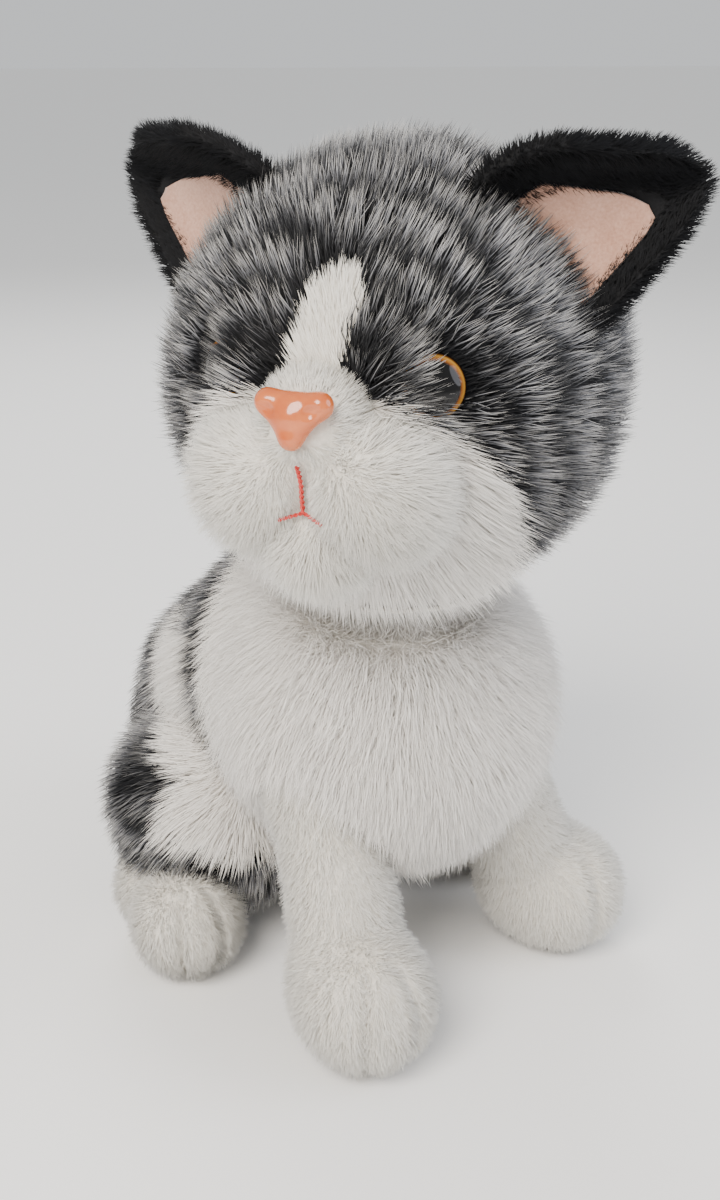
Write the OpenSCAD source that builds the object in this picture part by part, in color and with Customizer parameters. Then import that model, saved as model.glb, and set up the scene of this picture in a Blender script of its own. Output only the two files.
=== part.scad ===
// Seated plush cat with a turned head, in millimetres.
// +Z is up, the cat's body faces -Y, and +X is the cat's left.
// The origin is the centre of the flat seat under the rump.

/* [Head] */
// Radius of the head over its pile
head_r = 61; // [50:1:74]
// How far the head is turned to the cat's right, in degrees
head_turn = 46; // [0:1:55]
// How far the face looks up, in degrees
face_up = 4; // [0:1:10]
// How far the head leans forward of the chest, in degrees
head_lean = 10; // [4:1:14]
// How deep the head sinks into the neck hollow
neck_sink = 7.5; // [6:0.5:9]
// Width of the white blaze up the forehead
blaze_w = 15; // [8:1:20]
// Height of the blaze's top above the head's middle
blaze_top = 33; // [26:1:40]

/* [Muzzle] */
// Radius of each of the two muzzle lobes
lobe_r = 19; // [15:0.5:23]
// Sideways distance of a lobe from the middle
lobe_x = 13.5; // [10:0.5:16]
// Radius of the nose bridge above the lobes
bridge_r = 16; // [13:0.5:19]
// Radius of the chin under the lobes
chin_r = 14; // [11:0.5:17]
// How far the muzzle stands out of the head
muzzle_out = 6.5; // [5:0.5:9]

/* [Eyes and nose] */
// Diameter of a safety eye
eye_d = 16; // [13:0.5:19]
// Angle of an eye to the side of the face's middle, in degrees
eye_side = 29; // [26:1:33]
// Angle of an eye above the face's middle, in degrees
eye_up = 4; // [0:1:8]
// Width of the nose
nose_w = 18; // [15:0.5:22]
// Height of the nose
nose_h = 13; // [11:0.5:16]
// Diameter of the posts behind the eyes and the nose
post_d = 4; // [3:0.5:5]
// Length of a post behind the cloth
post_l = 9; // [7:1:12]

/* [Ears] */
// Height of an ear from its seam to its tip
ear_h = 41; // [34:1:49]
// Radius of the cone that an ear is rolled from
ear_r = 30; // [25:1:36]
// Thickness of the black pile cloth of an ear
ear_wall = 5; // [3:0.5:6]
// Thickness of the lining of an ear
lining_t = 1.4; // [1:0.1:2]
// How far an ear flexes each way, in degrees
ear_flex = 15; // [5:1:15]

/* [Body] */
// Radius of the rump
rump_r = 58; // [48:1:69]
// Height of the rump's middle
rump_z = 55; // [48:1:56]
// Radius of the back between rump and chest
back_r = 50; // [42:1:58]
// Radius of the chest
chest_r = 51; // [43:1:61]
// Distance of the chest in front of the rump
chest_y = 58; // [50:1:66]
// Height of the chest's middle
chest_z = 84; // [78:1:100]
// Thickness of long pile cloth, pile and backing together
long_pile = 9; // [6:0.5:11]
// Thickness of short pile cloth, pile and backing together
short_pile = 4; // [3:0.5:5]
// Radius of the bag of pellets in the seat
pellet_r = 20; // [14:1:22]

/* [Front legs] */
// Radius of the stuffed top of a front leg
shoulder_r = 19; // [16:0.5:21]
// Radius of a front leg
shank_r = 17.5; // [14:0.5:18]
// Radius of a front paw
paw_r = 20; // [18:0.5:23]
// Length of a front paw beyond its ankle
paw_l = 9; // [6:1:14]
// How far a front leg lifts forwards, in degrees
leg_lift = 25; // [5:1:25]

/* [Hind legs] */
// Radius of a haunch
haunch_r = 37; // [32:1:42]
// Radius of a hind foot at its toes
foot_r = 18; // [15:0.5:20]
// Length of a hind foot from heel middle to toe middle
foot_l = 24; // [18:1:30]
// How far the cat's left hind leg is set back
left_set_back = 18; // [16:1:24]
// How far a hind foot swings outwards, in degrees
foot_swing = 15; // [5:1:15]

/* [Tail] */
// Radius of the tail over its pile
tail_r = 11; // [9:0.5:13]
// Radius of the curve that the tail lies in
tail_curl = 46; // [42:1:56]
// Angle that the tail curls through, in degrees
tail_sweep = 130; // [90:5:140]

/* [Hidden] */
$fn = 96;
far = 400;
cloth_gap = 0.3;
joint_gap = 0.5;
backing_t = 1.5;
gusset_t = 2;
gusset_w = 52;
thread_d = 1.4;

head_in = head_r - long_pile;
chest_c = [3, -chest_y, chest_z];
rump_c = [0, 0, rump_z];
back_c = [0, -24, chest_z - 2];
side_lean = 3;
lean_dir = [-sin(side_lean), -sin(head_lean), sqrt(1 - pow(sin(side_lean), 2) - pow(sin(head_lean), 2))];
head_c = chest_c + lean_dir * (chest_r + head_r - neck_sink);
neck_hollow_r = head_r + gusset_t + 2 * joint_gap;

lobe_y = -(head_r + muzzle_out - lobe_r);
lobe_z = -20;
bridge_y = -(head_r + muzzle_out - bridge_r);
bridge_z = -6;
chin_y = -(head_r + muzzle_out - 5 - chin_r);
chin_z = lobe_z - chin_r;

eye_r = eye_d / 2;
eye_seat = head_in + backing_t;
washer_d = 14;
washer_t = 1.5;
nose_up = 12;
mouth_top = bridge_z - nose_h / 2 - 1;
mouth_fork = lobe_z - 6;
mouth_arm = 5;
nose_edge = 2.6;
nose_seat = bridge_r - short_pile + backing_t;

// Middle of an ear's seam on the head, as a direction and a distance from the head's middle
ear_dir = [0.802, -0.243, 0.546];
ear_pos = ear_dir / norm(ear_dir) * (head_r + 1);
ear_rot = [-3, 43.5, 16];
ear_lean = 16;
ear_cup = 16;
ear_slope = atan(ear_cup / ear_h);
ear_axis_l = norm([ear_cup, ear_h]);
ear_root = 10;

// Front legs: the stuffed top lies in the chest, and the paw lies on the floor
shoulder_sink = 17;
right_shoulder = chest_c + shoulder_dir(-1) * (chest_r - shoulder_sink);
left_shoulder = chest_c + shoulder_dir(1) * (chest_r - shoulder_sink);
paw_z = paw_r;
right_ankle = [right_shoulder.x - 3, right_shoulder.y - 28, paw_z];
left_ankle = [left_shoulder.x + 22, left_shoulder.y + 2.5, paw_z];
right_paw_turn = 0;
left_paw_turn = 30;

haunch_x = 37;
haunch_y = -20;
haunch_z = haunch_r + 5;
foot_x = haunch_x + 20;
heel_r = foot_r - 2;
foot_z = foot_r - 1;

tail_z = tail_r + 0.5;
tail_root = [0, sqrt(pow(rump_r, 2) - pow(rump_z - tail_z, 2)) + 4, tail_z];

pellet_c = [0, 0, rump_z - rump_r + long_pile + pellet_r + 1.5];

base_h = 5;
bib_edge = [0, -36, 87];
bib_slope = 30;
belly_w = 56;
belly_h = 40;
thigh_white = 18;

// Radius of a ball's slice at a distance from the ball's middle
function slice_r(r, d) = sqrt(pow(r, 2) - pow(d, 2));
// The point of the muzzle's front at x and z, on the nearer lobe
function on_lobe(x, z) =
    [x, lobe_y - sqrt(pow(lobe_r, 2) - pow(abs(x) - lobe_x, 2) - pow(z - lobe_z, 2)), z];
function shoulder_dir(s) = let(v = [s * 25 - 1, -15, -16]) v / norm(v);
function shoulder(s) = s < 0 ? right_shoulder : left_shoulder;
function ankle(s) = s < 0 ? right_ankle : left_ankle;
function paw_turn(s) = s < 0 ? right_paw_turn : left_paw_turn;
function set_back(s) = s < 0 ? 0 : left_set_back;
function haunch_c(s) = [s * haunch_x, haunch_y + set_back(s), haunch_z];
function heel(s) = [s * foot_x, haunch_y - 2 + set_back(s), foot_z];

// ---- helpers ----

// A ball whose poles point to the cat's sides, clear of every seam plane
module ball(p, r) {
    translate(p) rotate([90, 0, 0]) rotate([0, 90, 0]) sphere(r);
}

module rod(p, q, r1, r2) {
    d = q - p;
    translate(p) rotate([0, acos(d.z / norm(d)), atan2(d.y, d.x)])
        cylinder(h = norm(d), r1 = r1, r2 = r2);
}

module above(z) {
    translate([-far / 2, -far / 2, z]) cube(far);
}

module left_half() {
    translate([0, -far / 2, -far / 2]) cube(far);
}

module side_half(s) {
    if (s > 0) left_half();
    else mirror([1, 0, 0]) left_half();
}

module in_head() {
    translate(head_c) rotate([0, 0, -head_turn]) rotate([-face_up, 0, 0]) children();
}

module side_of_head(s) {
    in_head() mirror([s > 0 ? 0 : 1, 0, 0]) children();
}

// ---- head ----

module head_ball(r) {
    ball([0, 0, 0], r);
}

module head_shell() {
    difference() {
        head_ball(head_r);
        head_ball(head_in);
    }
}

// The white part of the face lies in front of and below a plane under the eyes
module white_face_zone() {
    translate([0, -52, 0]) rotate([45, 0, 0]) translate([-far / 2, -far, -far / 2]) cube(far);
}

module blaze_zone() {
    w = blaze_w / 2;
    rotate([90, 0, 0]) linear_extrude(far / 2)
        polygon([[-w, -8], [w, -8], [w, blaze_top * 0.6], [w * 0.5, blaze_top], [-w * 0.5, blaze_top],
            [-w, blaze_top * 0.6]]);
}

module to_eye() {
    rotate([0, 0, eye_side]) rotate([90 - eye_up, 0, 0]) children();
}

module eye_pocket() {
    to_eye() {
        translate([0, 0, eye_seat]) cylinder(h = long_pile * 2, r = eye_r + cloth_gap);
        translate([0, 0, head_in - 5]) cylinder(h = 10, d = post_d + 2 * cloth_gap);
    }
}

module eye_pockets() {
    eye_pocket();
    mirror([1, 0, 0]) eye_pocket();
}

module head_side(s) {
    color("#3a3d44") in_head() intersection() {
        difference() {
            head_shell();
            white_face_zone();
            blaze_zone();
            eye_pockets();
        }
        side_half(s);
    }
}

module forehead_blaze() {
    color("#ece8e0") in_head() difference() {
        intersection() {
            head_shell();
            blaze_zone();
        }
        white_face_zone();
    }
}

module cheek(s) {
    color("#f1ece4") in_head() difference() {
        intersection() {
            head_shell();
            white_face_zone();
            side_half(s);
        }
        eye_pockets();
        nose_room();
    }
}

module muzzle_form(inset) {
    for (s = [-1, 1]) ball([s * lobe_x, lobe_y, lobe_z], lobe_r - inset);
    ball([0, bridge_y, bridge_z], bridge_r - inset);
    ball([0, chin_y, chin_z], chin_r - inset);
}

module to_nose() {
    translate([0, bridge_y, bridge_z]) rotate([90 - nose_up, 0, 0]) children();
}

// Room behind the nose for its post and washer
module nose_room() {
    to_nose() cylinder(h = far / 4, d = washer_d + 2 * cloth_gap);
}

module muzzle() {
    color("#f3efe8") in_head() difference() {
        muzzle_form(0);
        muzzle_form(short_pile);
        head_ball(head_r);
        to_nose() cylinder(h = far / 4, d = post_d + 2 * cloth_gap);
        to_nose() translate([0, 0, nose_seat]) cylinder(h = far / 4, d = nose_w + 4);
    }
}

// A blunt cone of fibre between the head and the inside of a ball of pile cloth at c
module filling(c, r) {
    out = c / norm(c);
    low = head_r + cloth_gap;
    high = norm(c) + r * 0.9;
    rod(out * low, out * high, slice_r(r, low - norm(c)), slice_r(r, high - norm(c)));
}

// Fibre that fills the lobes and the chin
module muzzle_stuffing() {
    inset = short_pile + cloth_gap;
    color("#fbfaf6") in_head() {
        for (s = [-1, 1]) filling([s * lobe_x, lobe_y, lobe_z], lobe_r - inset);
        filling([0, chin_y, chin_z], chin_r - inset);
    }
}

module washer_room(top) {
    translate([0, 0, top - washer_t - cloth_gap])
        cylinder(h = far / 4, d = washer_d + 2 * cloth_gap);
}

module head_stuffing() {
    color("#fbfaf6") in_head() difference() {
        head_ball(head_in - cloth_gap);
        for (s = [0, 1]) mirror([s, 0, 0]) to_eye() {
            washer_room(eye_washer_top);
            translate([0, 0, eye_seat - post_l - 2]) cylinder(h = post_l + 4, d = post_d + 2 * cloth_gap);
        }
    }
}

eye_washer_top = sqrt(pow(head_in, 2) - pow(washer_d / 2, 2)) - 0.1;

module eye(s) {
    color("#b8742a") side_of_head(s) to_eye() {
        intersection() {
            translate([0, 0, eye_seat]) sphere(eye_r);
            translate([0, 0, eye_seat]) cylinder(h = eye_r + 1, r = eye_r + 1);
        }
        translate([0, 0, eye_seat - post_l]) cylinder(h = post_l + 1, d = post_d);
    }
}

module post_washer(top) {
    difference() {
        translate([0, 0, top - washer_t]) cylinder(h = washer_t, d = washer_d);
        translate([0, 0, top - washer_t - 1]) cylinder(h = washer_t + 2, d = post_d + 0.1);
    }
}

module eye_washer(s) {
    color("#e9e9e4") side_of_head(s) to_eye() post_washer(eye_washer_top);
}

nose_washer_top = sqrt(pow(bridge_r - short_pile, 2) - pow(washer_d / 2, 2)) - 0.1;

// A rounded triangle of plastic with a flat back, on a post
module nose() {
    side = nose_w / 2 - nose_edge;
    top = nose_h / 2 - nose_edge;
    color("#e89f7c") in_head() to_nose() {
        translate([0, 0, nose_seat]) hull()
            for (p = [[-side, top], [side, top], [0, -top]]) translate(p) {
                cylinder(h = nose_edge, r = nose_edge, $fn = 32);
                translate([0, 0, nose_edge]) sphere(nose_edge, $fn = 32);
            }
        translate([0, 0, nose_seat - post_l]) cylinder(h = post_l + 1, d = post_d);
    }
}

module nose_washer() {
    color("#e9e9e4") in_head() to_nose() post_washer(nose_washer_top);
}

// Embroidered mouth: one line down from the nose and two short arms
module mouth_stitch() {
    r = thread_d / 2;
    start = [0, bridge_y - sqrt(pow(bridge_r, 2) - pow(mouth_top - bridge_z, 2)), mouth_top];
    fork = on_lobe(0, mouth_fork);
    color("#c8362c") in_head() {
        rod(start, fork, r, r);
        ball(fork, r);
        for (s = [-1, 1]) rod(fork, on_lobe(s * mouth_arm, mouth_fork - mouth_arm / 2), r, r);
    }
}

// ---- ears ----

module ear_place() {
    translate(ear_pos) rotate(ear_rot) children();
}

module ear_unplace() {
    rotate([-ear_rot.x, 0, 0]) rotate([0, -ear_rot.y, 0]) rotate([0, 0, -ear_rot.z])
        translate(-ear_pos) children();
}

// One of the nested cones that an ear is cut from; inset is measured square to its wall
module ear_cone(inset) {
    half_angle = atan(ear_r / ear_axis_l);
    r_at = ear_r / ear_axis_l;
    tip_l = ear_axis_l - 4;
    rotate([0, ear_lean, 0]) translate([0, -ear_cup, 0]) rotate([-ear_slope, 0, 0])
        translate([0, 0, -inset / sin(half_angle)])
            translate([0, 0, -ear_root])
                cylinder(h = tip_l + ear_root, r1 = r_at * (ear_axis_l + ear_root), r2 = r_at * 4);
}

// The ear clears the head over the whole of its flex
module ear_clear() {
    for (a = [-ear_flex, 0, ear_flex])
        ear_place() rotate([a, 0, 0]) ear_unplace() sphere(head_r + joint_gap);
}

module ear_layer(outer, inner) {
    difference() {
        ear_place() difference() {
            intersection() {
                ear_cone(outer);
                translate([-far / 2, 0, -far / 2]) cube(far);
            }
            ear_cone(inner);
        }
        ear_clear();
    }
}

module ear_back(s) {
    color("#101116") side_of_head(s) ear_layer(0, ear_wall);
}

module ear_lining(s) {
    color("#c9a899") side_of_head(s) ear_layer(ear_wall, ear_wall + lining_t);
}

// ---- neck ----

// The round of cloth that closes the head's neck opening, under the head
module neck_gusset() {
    color("#e6e1d8") translate(head_c) difference() {
        sphere(head_r + joint_gap + gusset_t);
        sphere(head_r + joint_gap);
        above(0);
        difference() {
            cylinder(h = far, r = far / 2, center = true);
            cylinder(h = far + 2, d = gusset_w, center = true);
        }
    }
}

// ---- torso ----

module torso_form(inset) {
    ball(rump_c, rump_r - inset);
    ball(back_c, back_r - inset);
    ball(chest_c, chest_r - inset);
}

// Space that a front leg needs inside the chest while it lifts
module leg_room(s) {
    translate(shoulder(s)) hull() {
        sphere(shoulder_r + joint_gap + 0.2, $fn = 48);
        for (a = [0, leg_lift / 2, leg_lift])
            rotate([-a, 0, 0]) translate(ankle(s) - shoulder(s)) sphere(shank_r + joint_gap + 0.5, $fn = 32);
    }
}

module foot_room(s) {
    c = joint_gap + 0.4;
    translate(heel(s)) hull() {
        sphere(heel_r + c, $fn = 32);
        for (a = [-foot_swing, 0, foot_swing])
            rotate([0, 0, a]) translate([0, -foot_l, 0]) sphere(foot_r + c, $fn = 32);
    }
}

module torso_cuts() {
    ball(head_c, neck_hollow_r);
    ball(tail_root, tail_r + joint_gap);
    for (s = [-1, 1]) {
        leg_room(s);
        foot_room(s);
    }
}

module torso_shell() {
    difference() {
        intersection() {
            torso_form(0);
            above(0);
        }
        torso_form(long_pile);
        torso_cuts();
    }
}

// Everything in front of the seam between the bib and the tabby back
module bib_zone() {
    translate(bib_edge) rotate([-bib_slope, 0, 0]) translate([-far / 2, -far, -far / 2]) cube(far);
}

module belly_zone() {
    translate([-belly_w / 2, -far, base_h]) cube([belly_w, far - 15, belly_h]);
}

// White wedge high on each flank, seen from the side
module flank_zone(s) {
    rotate([90, 0, 90]) translate([0, 0, s > 0 ? 30 : -30 - far]) linear_extrude(far)
        translate([set_back(s) / 2, 0])
            polygon([[14, 94], [-20, 99], [-58, 44], [-48, 40], [-40, 60], [-10, 73]]);
}

// The front of a thigh above the foot is white as well
module thigh_zone(s) {
    translate([-far / 2, haunch_c(s).y - far - thigh_white, haunch_z + 3]) cube(far);
}

module bib() {
    color("#f4f0ea") difference() {
        intersection() {
            torso_shell();
            bib_zone();
        }
        belly_zone();
    }
}

module belly_panel() {
    color("#f0ebe3") intersection() {
        torso_shell();
        belly_zone();
    }
}

module back_panel(s) {
    color("#43464d") difference() {
        intersection() {
            torso_shell();
            side_half(s);
            above(base_h);
        }
        bib_zone();
        belly_zone();
        flank_zone(s);
    }
}

module base_panel() {
    color("#2c2e33") difference() {
        torso_shell();
        above(base_h);
    }
}

module flank_patch(s) {
    color("#f2eee6") {
        difference() {
            intersection() {
                torso_shell();
                flank_zone(s);
            }
            bib_zone();
        }
        intersection() {
            haunch_shell(s);
            union() {
                flank_zone(s);
                thigh_zone(s);
            }
        }
    }
}

// The fibre keeps clear of the whole sweep of a front leg, in a plain cone
module leg_hollow(s) {
    reach = ankle(s) - shoulder(s);
    a = leg_lift / 2;
    mid = [reach.x, reach.y * cos(a) + reach.z * sin(a), reach.z * cos(a) - reach.y * sin(a)];
    ball(shoulder(s), shoulder_r + 2);
    rod(shoulder(s), shoulder(s) + mid, shoulder_r, shank_r + 3 + norm(reach) * sin(a));
}

module torso_stuffing() {
    inset = long_pile + cloth_gap;
    color("#fbfaf6") difference() {
        union() {
            translate(rump_c) sphere(rump_r - inset);
            translate(back_c) sphere(back_r - inset);
            translate(chest_c) sphere(chest_r - inset);
        }
        ball(head_c, neck_hollow_r);
        ball(tail_root, tail_r + joint_gap);
        for (s = [-1, 1]) leg_hollow(s);
        ball(pellet_c, pellet_r + cloth_gap);
    }
}

module pellet_bag() {
    color("#d9d4c6") ball(pellet_c, pellet_r);
}

// Thread that closes the spine seam above the tail
module closing_seam() {
    color("#25262b") translate(rump_c) rotate([90, 0, 90]) rotate([0, 0, -5])
        rotate_extrude(angle = 40) translate([rump_r, 0]) circle(d = thread_d, $fn = 24);
}

// ---- haunches and hind feet ----

module haunch_shell(s) {
    difference() {
        ball(haunch_c(s), haunch_r);
        ball(haunch_c(s), haunch_r - long_pile);
        torso_form(0);
        foot_room(s);
    }
}

module haunch(s) {
    color("#3d4047") difference() {
        haunch_shell(s);
        flank_zone(s);
        thigh_zone(s);
    }
}

module haunch_stuffing(s) {
    color("#fbfaf6") difference() {
        ball(haunch_c(s), haunch_r - long_pile - cloth_gap);
        torso_form(-cloth_gap);
        foot_room(s);
    }
}

module foot_form(s, inset) {
    intersection() {
        translate(heel(s)) {
            sphere(heel_r - inset);
            translate([0, -foot_l, 0]) sphere(foot_r - inset);
            rod([0, 0, 0], [0, -foot_l, 0], heel_r - 1 - inset, heel_r - 1 - inset);
        }
        above(inset);
    }
}

module hind_foot(s) {
    color("#f5f2ec") difference() {
        foot_form(s, 0);
        foot_form(s, short_pile);
    }
}

module foot_stuffing(s) {
    color("#fbfaf6") foot_form(s, short_pile + cloth_gap);
}

// Threads pulled over the toes between them, on a ball of radius r
module toe_threads(r) {
    for (a = [-28, 0, 28])
        rotate([0, 0, a - 90]) rotate([90, 0, 0]) rotate([0, 0, -20])
            rotate_extrude(angle = 70) translate([r, 0]) circle(d = thread_d, $fn = 24);
}

module foot_stitches(s) {
    color("#dcd7cd") translate(heel(s) + [0, -foot_l, 0]) toe_threads(foot_r);
}

// ---- front legs ----

module leg_form(s, inset) {
    toe = ankle(s) + paw_l * [sin(paw_turn(s)), -cos(paw_turn(s)), 0];
    intersection() {
        union() {
            ball(shoulder(s), shoulder_r - inset);
            rod(shoulder(s), ankle(s), shank_r - inset, shank_r - inset);
            ball(ankle(s), paw_r - inset);
            ball(toe, paw_r + 0.5 - inset);
        }
        above(inset);
    }
}

module front_leg(s) {
    color("#f6f3ee") difference() {
        leg_form(s, 0);
        leg_form(s, short_pile);
    }
}

module leg_stuffing(s) {
    color("#fbfaf6") leg_form(s, short_pile + cloth_gap);
}

module paw_stitches(s) {
    toe = ankle(s) + paw_l * [sin(paw_turn(s)), -cos(paw_turn(s)), 0];
    color("#dcd7cd") translate(toe) rotate([0, 0, paw_turn(s)]) toe_threads(paw_r + 0.5);
}

// ---- tail ----

// The tail lies on the floor and curls round to the cat's left
module tail_form(inset) {
    end = tail_root + tail_curl * [1 - cos(tail_sweep), sin(tail_sweep), 0];
    ball(tail_root, tail_r - inset);
    translate(tail_root + [tail_curl, 0, 0]) rotate([0, 0, 180 - tail_sweep])
        rotate_extrude(angle = tail_sweep) translate([tail_curl, 0]) circle(r = tail_r - 1.5 - inset);
    ball(end, tail_r - inset);
}

module tail() {
    color("#35373d") difference() {
        tail_form(0);
        tail_form(long_pile / 2);
    }
}

module tail_stuffing() {
    color("#fbfaf6") tail_form(long_pile / 2 + cloth_gap);
}

// ---- nodes ----

head_side(1);  // head_side_left
head_side(-1);  // head_side_right
forehead_blaze();
cheek(1);  // cheek_left
cheek(-1);  // cheek_right
muzzle();
muzzle_stuffing();
head_stuffing();
nose();
nose_washer();
mouth_stitch();
eye(1);  // eye_left
eye(-1);  // eye_right
eye_washer(1);  // eye_washer_left
eye_washer(-1);  // eye_washer_right
ear_back(1);  // ear_back_left
ear_back(-1);  // ear_back_right
ear_lining(1);  // ear_lining_left
ear_lining(-1);  // ear_lining_right
neck_gusset();
bib();
belly_panel();
back_panel(1);  // back_panel_left
back_panel(-1);  // back_panel_right
flank_patch(1);  // flank_patch_left
flank_patch(-1);  // flank_patch_right
base_panel();
torso_stuffing();
pellet_bag();
closing_seam();
haunch(1);  // haunch_left
haunch(-1);  // haunch_right
haunch_stuffing(1);  // haunch_stuffing_left
haunch_stuffing(-1);  // haunch_stuffing_right
front_leg(1);  // front_leg_left
front_leg(-1);  // front_leg_right
leg_stuffing(1);  // leg_stuffing_left
leg_stuffing(-1);  // leg_stuffing_right
paw_stitches(1);  // paw_stitches_left
paw_stitches(-1);  // paw_stitches_right
hind_foot(1);  // hind_foot_left
hind_foot(-1);  // hind_foot_right
foot_stuffing(1);  // foot_stuffing_left
foot_stuffing(-1);  // foot_stuffing_right
foot_stitches(1);  // foot_stitches_left
foot_stitches(-1);  // foot_stitches_right
tail();
tail_stuffing();
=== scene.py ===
# %% [markdown]
# # A seated plush cat, sewn from pile cloth
# The CAD part gives the cat's bodies, joints and sizes. This lesson dresses it: each sewn panel becomes
# a backing cloth, each pile becomes thousands of thin mesh strands, and the plastic eyes and nose get
# their gloss. Lengths in the cells are millimetres until a mesh is made, because a sewer thinks in
# millimetres; Blender gets metres.

# %% Load the frame
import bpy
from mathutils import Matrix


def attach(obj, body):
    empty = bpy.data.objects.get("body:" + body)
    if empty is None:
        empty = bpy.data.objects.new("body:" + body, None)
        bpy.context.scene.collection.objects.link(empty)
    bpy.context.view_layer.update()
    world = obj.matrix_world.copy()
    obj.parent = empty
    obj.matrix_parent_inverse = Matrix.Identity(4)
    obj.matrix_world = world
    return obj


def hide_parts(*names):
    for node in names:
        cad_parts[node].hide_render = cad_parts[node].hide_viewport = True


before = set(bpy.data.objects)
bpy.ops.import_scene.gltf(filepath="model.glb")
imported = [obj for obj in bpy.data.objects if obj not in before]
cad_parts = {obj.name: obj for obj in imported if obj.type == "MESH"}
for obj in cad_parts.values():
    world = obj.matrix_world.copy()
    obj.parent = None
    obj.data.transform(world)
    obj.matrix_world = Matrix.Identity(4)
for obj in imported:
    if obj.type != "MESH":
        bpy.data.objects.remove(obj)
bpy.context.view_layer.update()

# %% Tools
import math

import bmesh
import bpy
import numpy as np
from mathutils import Matrix, Vector, kdtree

MM = 0.001


def vec(*numbers):
    return np.array(numbers, float)


def unit(v):
    return v / np.maximum(np.linalg.norm(v, axis=-1, keepdims=True), 1e-9)


# %% [markdown]
# ## Colour and nodes
# Colours are written as the sRGB hex values that a colour chart gives. Blender's sockets want linear
# light, so one function turns them. A second small function adds a node with its settings and links.

# %% Colour and node helpers
def linear(code):
    """An sRGB hex colour as linear red, green, blue and alpha."""
    parts = [int(code[i:i + 2], 16) / 255 for i in (1, 3, 5)]
    return (*(c / 12.92 if c <= 0.04045 else ((c + 0.055) / 1.055) ** 2.4 for c in parts), 1.0)


def add_node(mat, kind, inputs=None, **settings):
    """Adds a node. An input is a value, or another node's output to link."""
    node = mat.node_tree.nodes.new(kind)
    for name, value in settings.items():
        setattr(node, name, value)
    for name, value in (inputs or {}).items():
        if isinstance(value, bpy.types.NodeSocket):
            mat.node_tree.links.new(value, node.inputs[name])
        else:
            node.inputs[name].default_value = value
    return node


def set_stops(ramp, stops):
    """Puts (place, hex colour) stops on a colour ramp and returns its colour output."""
    stops = sorted(stops)
    elements = ramp.color_ramp.elements
    while len(elements) < len(stops):
        elements.new(1.0)
    for element, (place, code) in zip(elements, stops):
        element.position, element.color = place, linear(code)
    return ramp.outputs["Color"]


def start_material(name, **sockets):
    """A material and its main shader, with constants set on the shader's own sockets."""
    mat = bpy.data.materials.new(name)
    mat.use_nodes = True
    shader = mat.node_tree.nodes["Principled BSDF"]
    for socket, value in sockets.items():
        shader.inputs[socket.replace("_", " ")].default_value = value
    return mat, shader


print("black pile in linear light:", [round(c, 4) for c in linear("#0c0d11")])

# %% [markdown]
# ## Pile cloth finishes
# Plush pile is acrylic or polyester fibre, knitted into a backing and sheared. Dyed fibre that is
# discharged at its ends looks frosted: nearly black at the root and pale at the tip. Hair particles
# wouldn't leave Blender as meshes, so the fibres here are mesh strands. Each strand lies in a narrow
# upright column of the UV square: across is how pale the fibre is, and up is root to tip. Two colour
# ramps, for the darkest and the palest fibre, are mixed by that position. In the white piles the ramps
# also darken towards the root: that is painted shade, deep in the pile.

# %% Pile materials
PILE_MAP = "OFBake"


def pile_material(name, dark, pale, **sockets):
    mat, shader = start_material(name, **sockets)
    uv = add_node(mat, "ShaderNodeUVMap", uv_map=PILE_MAP)
    place = add_node(mat, "ShaderNodeSeparateXYZ", {"Vector": uv.outputs["UV"]})
    darkest, palest = (set_stops(add_node(mat, "ShaderNodeValToRGB", {"Fac": place.outputs["Y"]}), stops)
                       for stops in (dark, pale))
    blend = add_node(mat, "ShaderNodeMix", {0: place.outputs["X"], 6: darkest, 7: palest}, data_type="RGBA")
    mat.node_tree.links.new(blend.outputs[2], shader.inputs["Base Color"])
    return mat


# Acrylic fibre is dull along its length and glints a little at its tips: rough, with weak reflection.
tabby_pile = pile_material(
    "frosted_acrylic_long_pile",
    dark=[(0, "#040507"), (0.6, "#08090c"), (1, "#14161b")],
    pale=[(0, "#07080a"), (0.42, "#121318"), (0.66, "#85868a"), (1, "#efece6")],
    Roughness=0.6, Specular_IOR_Level=0.18, Sheen_Weight=0.03,
)
# White long pile is undyed fibre, cool white at the tip; its ramps darken and warm towards the root as painted shade,
# where light is trapped deep in the pile.
white_pile = pile_material(
    "undyed_acrylic_long_pile",
    dark=[(0, "#c9c2b8"), (0.5, "#e2dcd3"), (1, "#ece8e1")],
    pale=[(0, "#d6d0c6"), (0.5, "#f1ede6"), (1, "#fbf9f5")],
    Roughness=0.5, Specular_IOR_Level=0.35, Sheen_Weight=0.2,
)
# Sheared velvet-like pile keeps its ends together, so it reads as one soft, matt surface.
# Both ramps darken towards the root: that is painted shade deep in the pile.
velvet_pile = pile_material(
    "undyed_sheared_pile",
    dark=[(0, "#cfc9bc"), (1, "#e6e2d8")],
    pale=[(0, "#dcd7cb"), (1, "#f7f5ee")],
    Roughness=0.65, Specular_IOR_Level=0.25, Sheen_Weight=0.25,
)
# Black sheared pile swallows light; only the tips show a cold grey edge.
black_pile = pile_material(
    "black_sheared_pile",
    dark=[(0, "#030304"), (1, "#08090c")],
    pale=[(0, "#050506"), (1, "#15171c")],
    Roughness=0.65, Specular_IOR_Level=0.15, Sheen_Weight=0.02,
)
PILE_SLOTS = {tabby_pile.name: "tabby_long_pile", white_pile.name: "white_long_pile",
              velvet_pile.name: "white_short_pile", black_pile.name: "black_pile"}
print("pile finishes:", list(PILE_SLOTS))

# %% [markdown]
# ## Backing, lining, thread, fibre and plastic
# Under the pile is a warp-knit backing, whose loops are about 1 mm apart. The ear lining is a brushed
# velour with a nap too short to comb. Fibre filling is crimped hollow polyester. The eyes are domed
# acrylic, the nose is moulded and dyed plastic, and the washers behind them are natural polypropylene.

# %% Cloth and plastic materials
CLOUD_MM = 14  # cloth and plastic change colour slowly, over about this many millimetres


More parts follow.
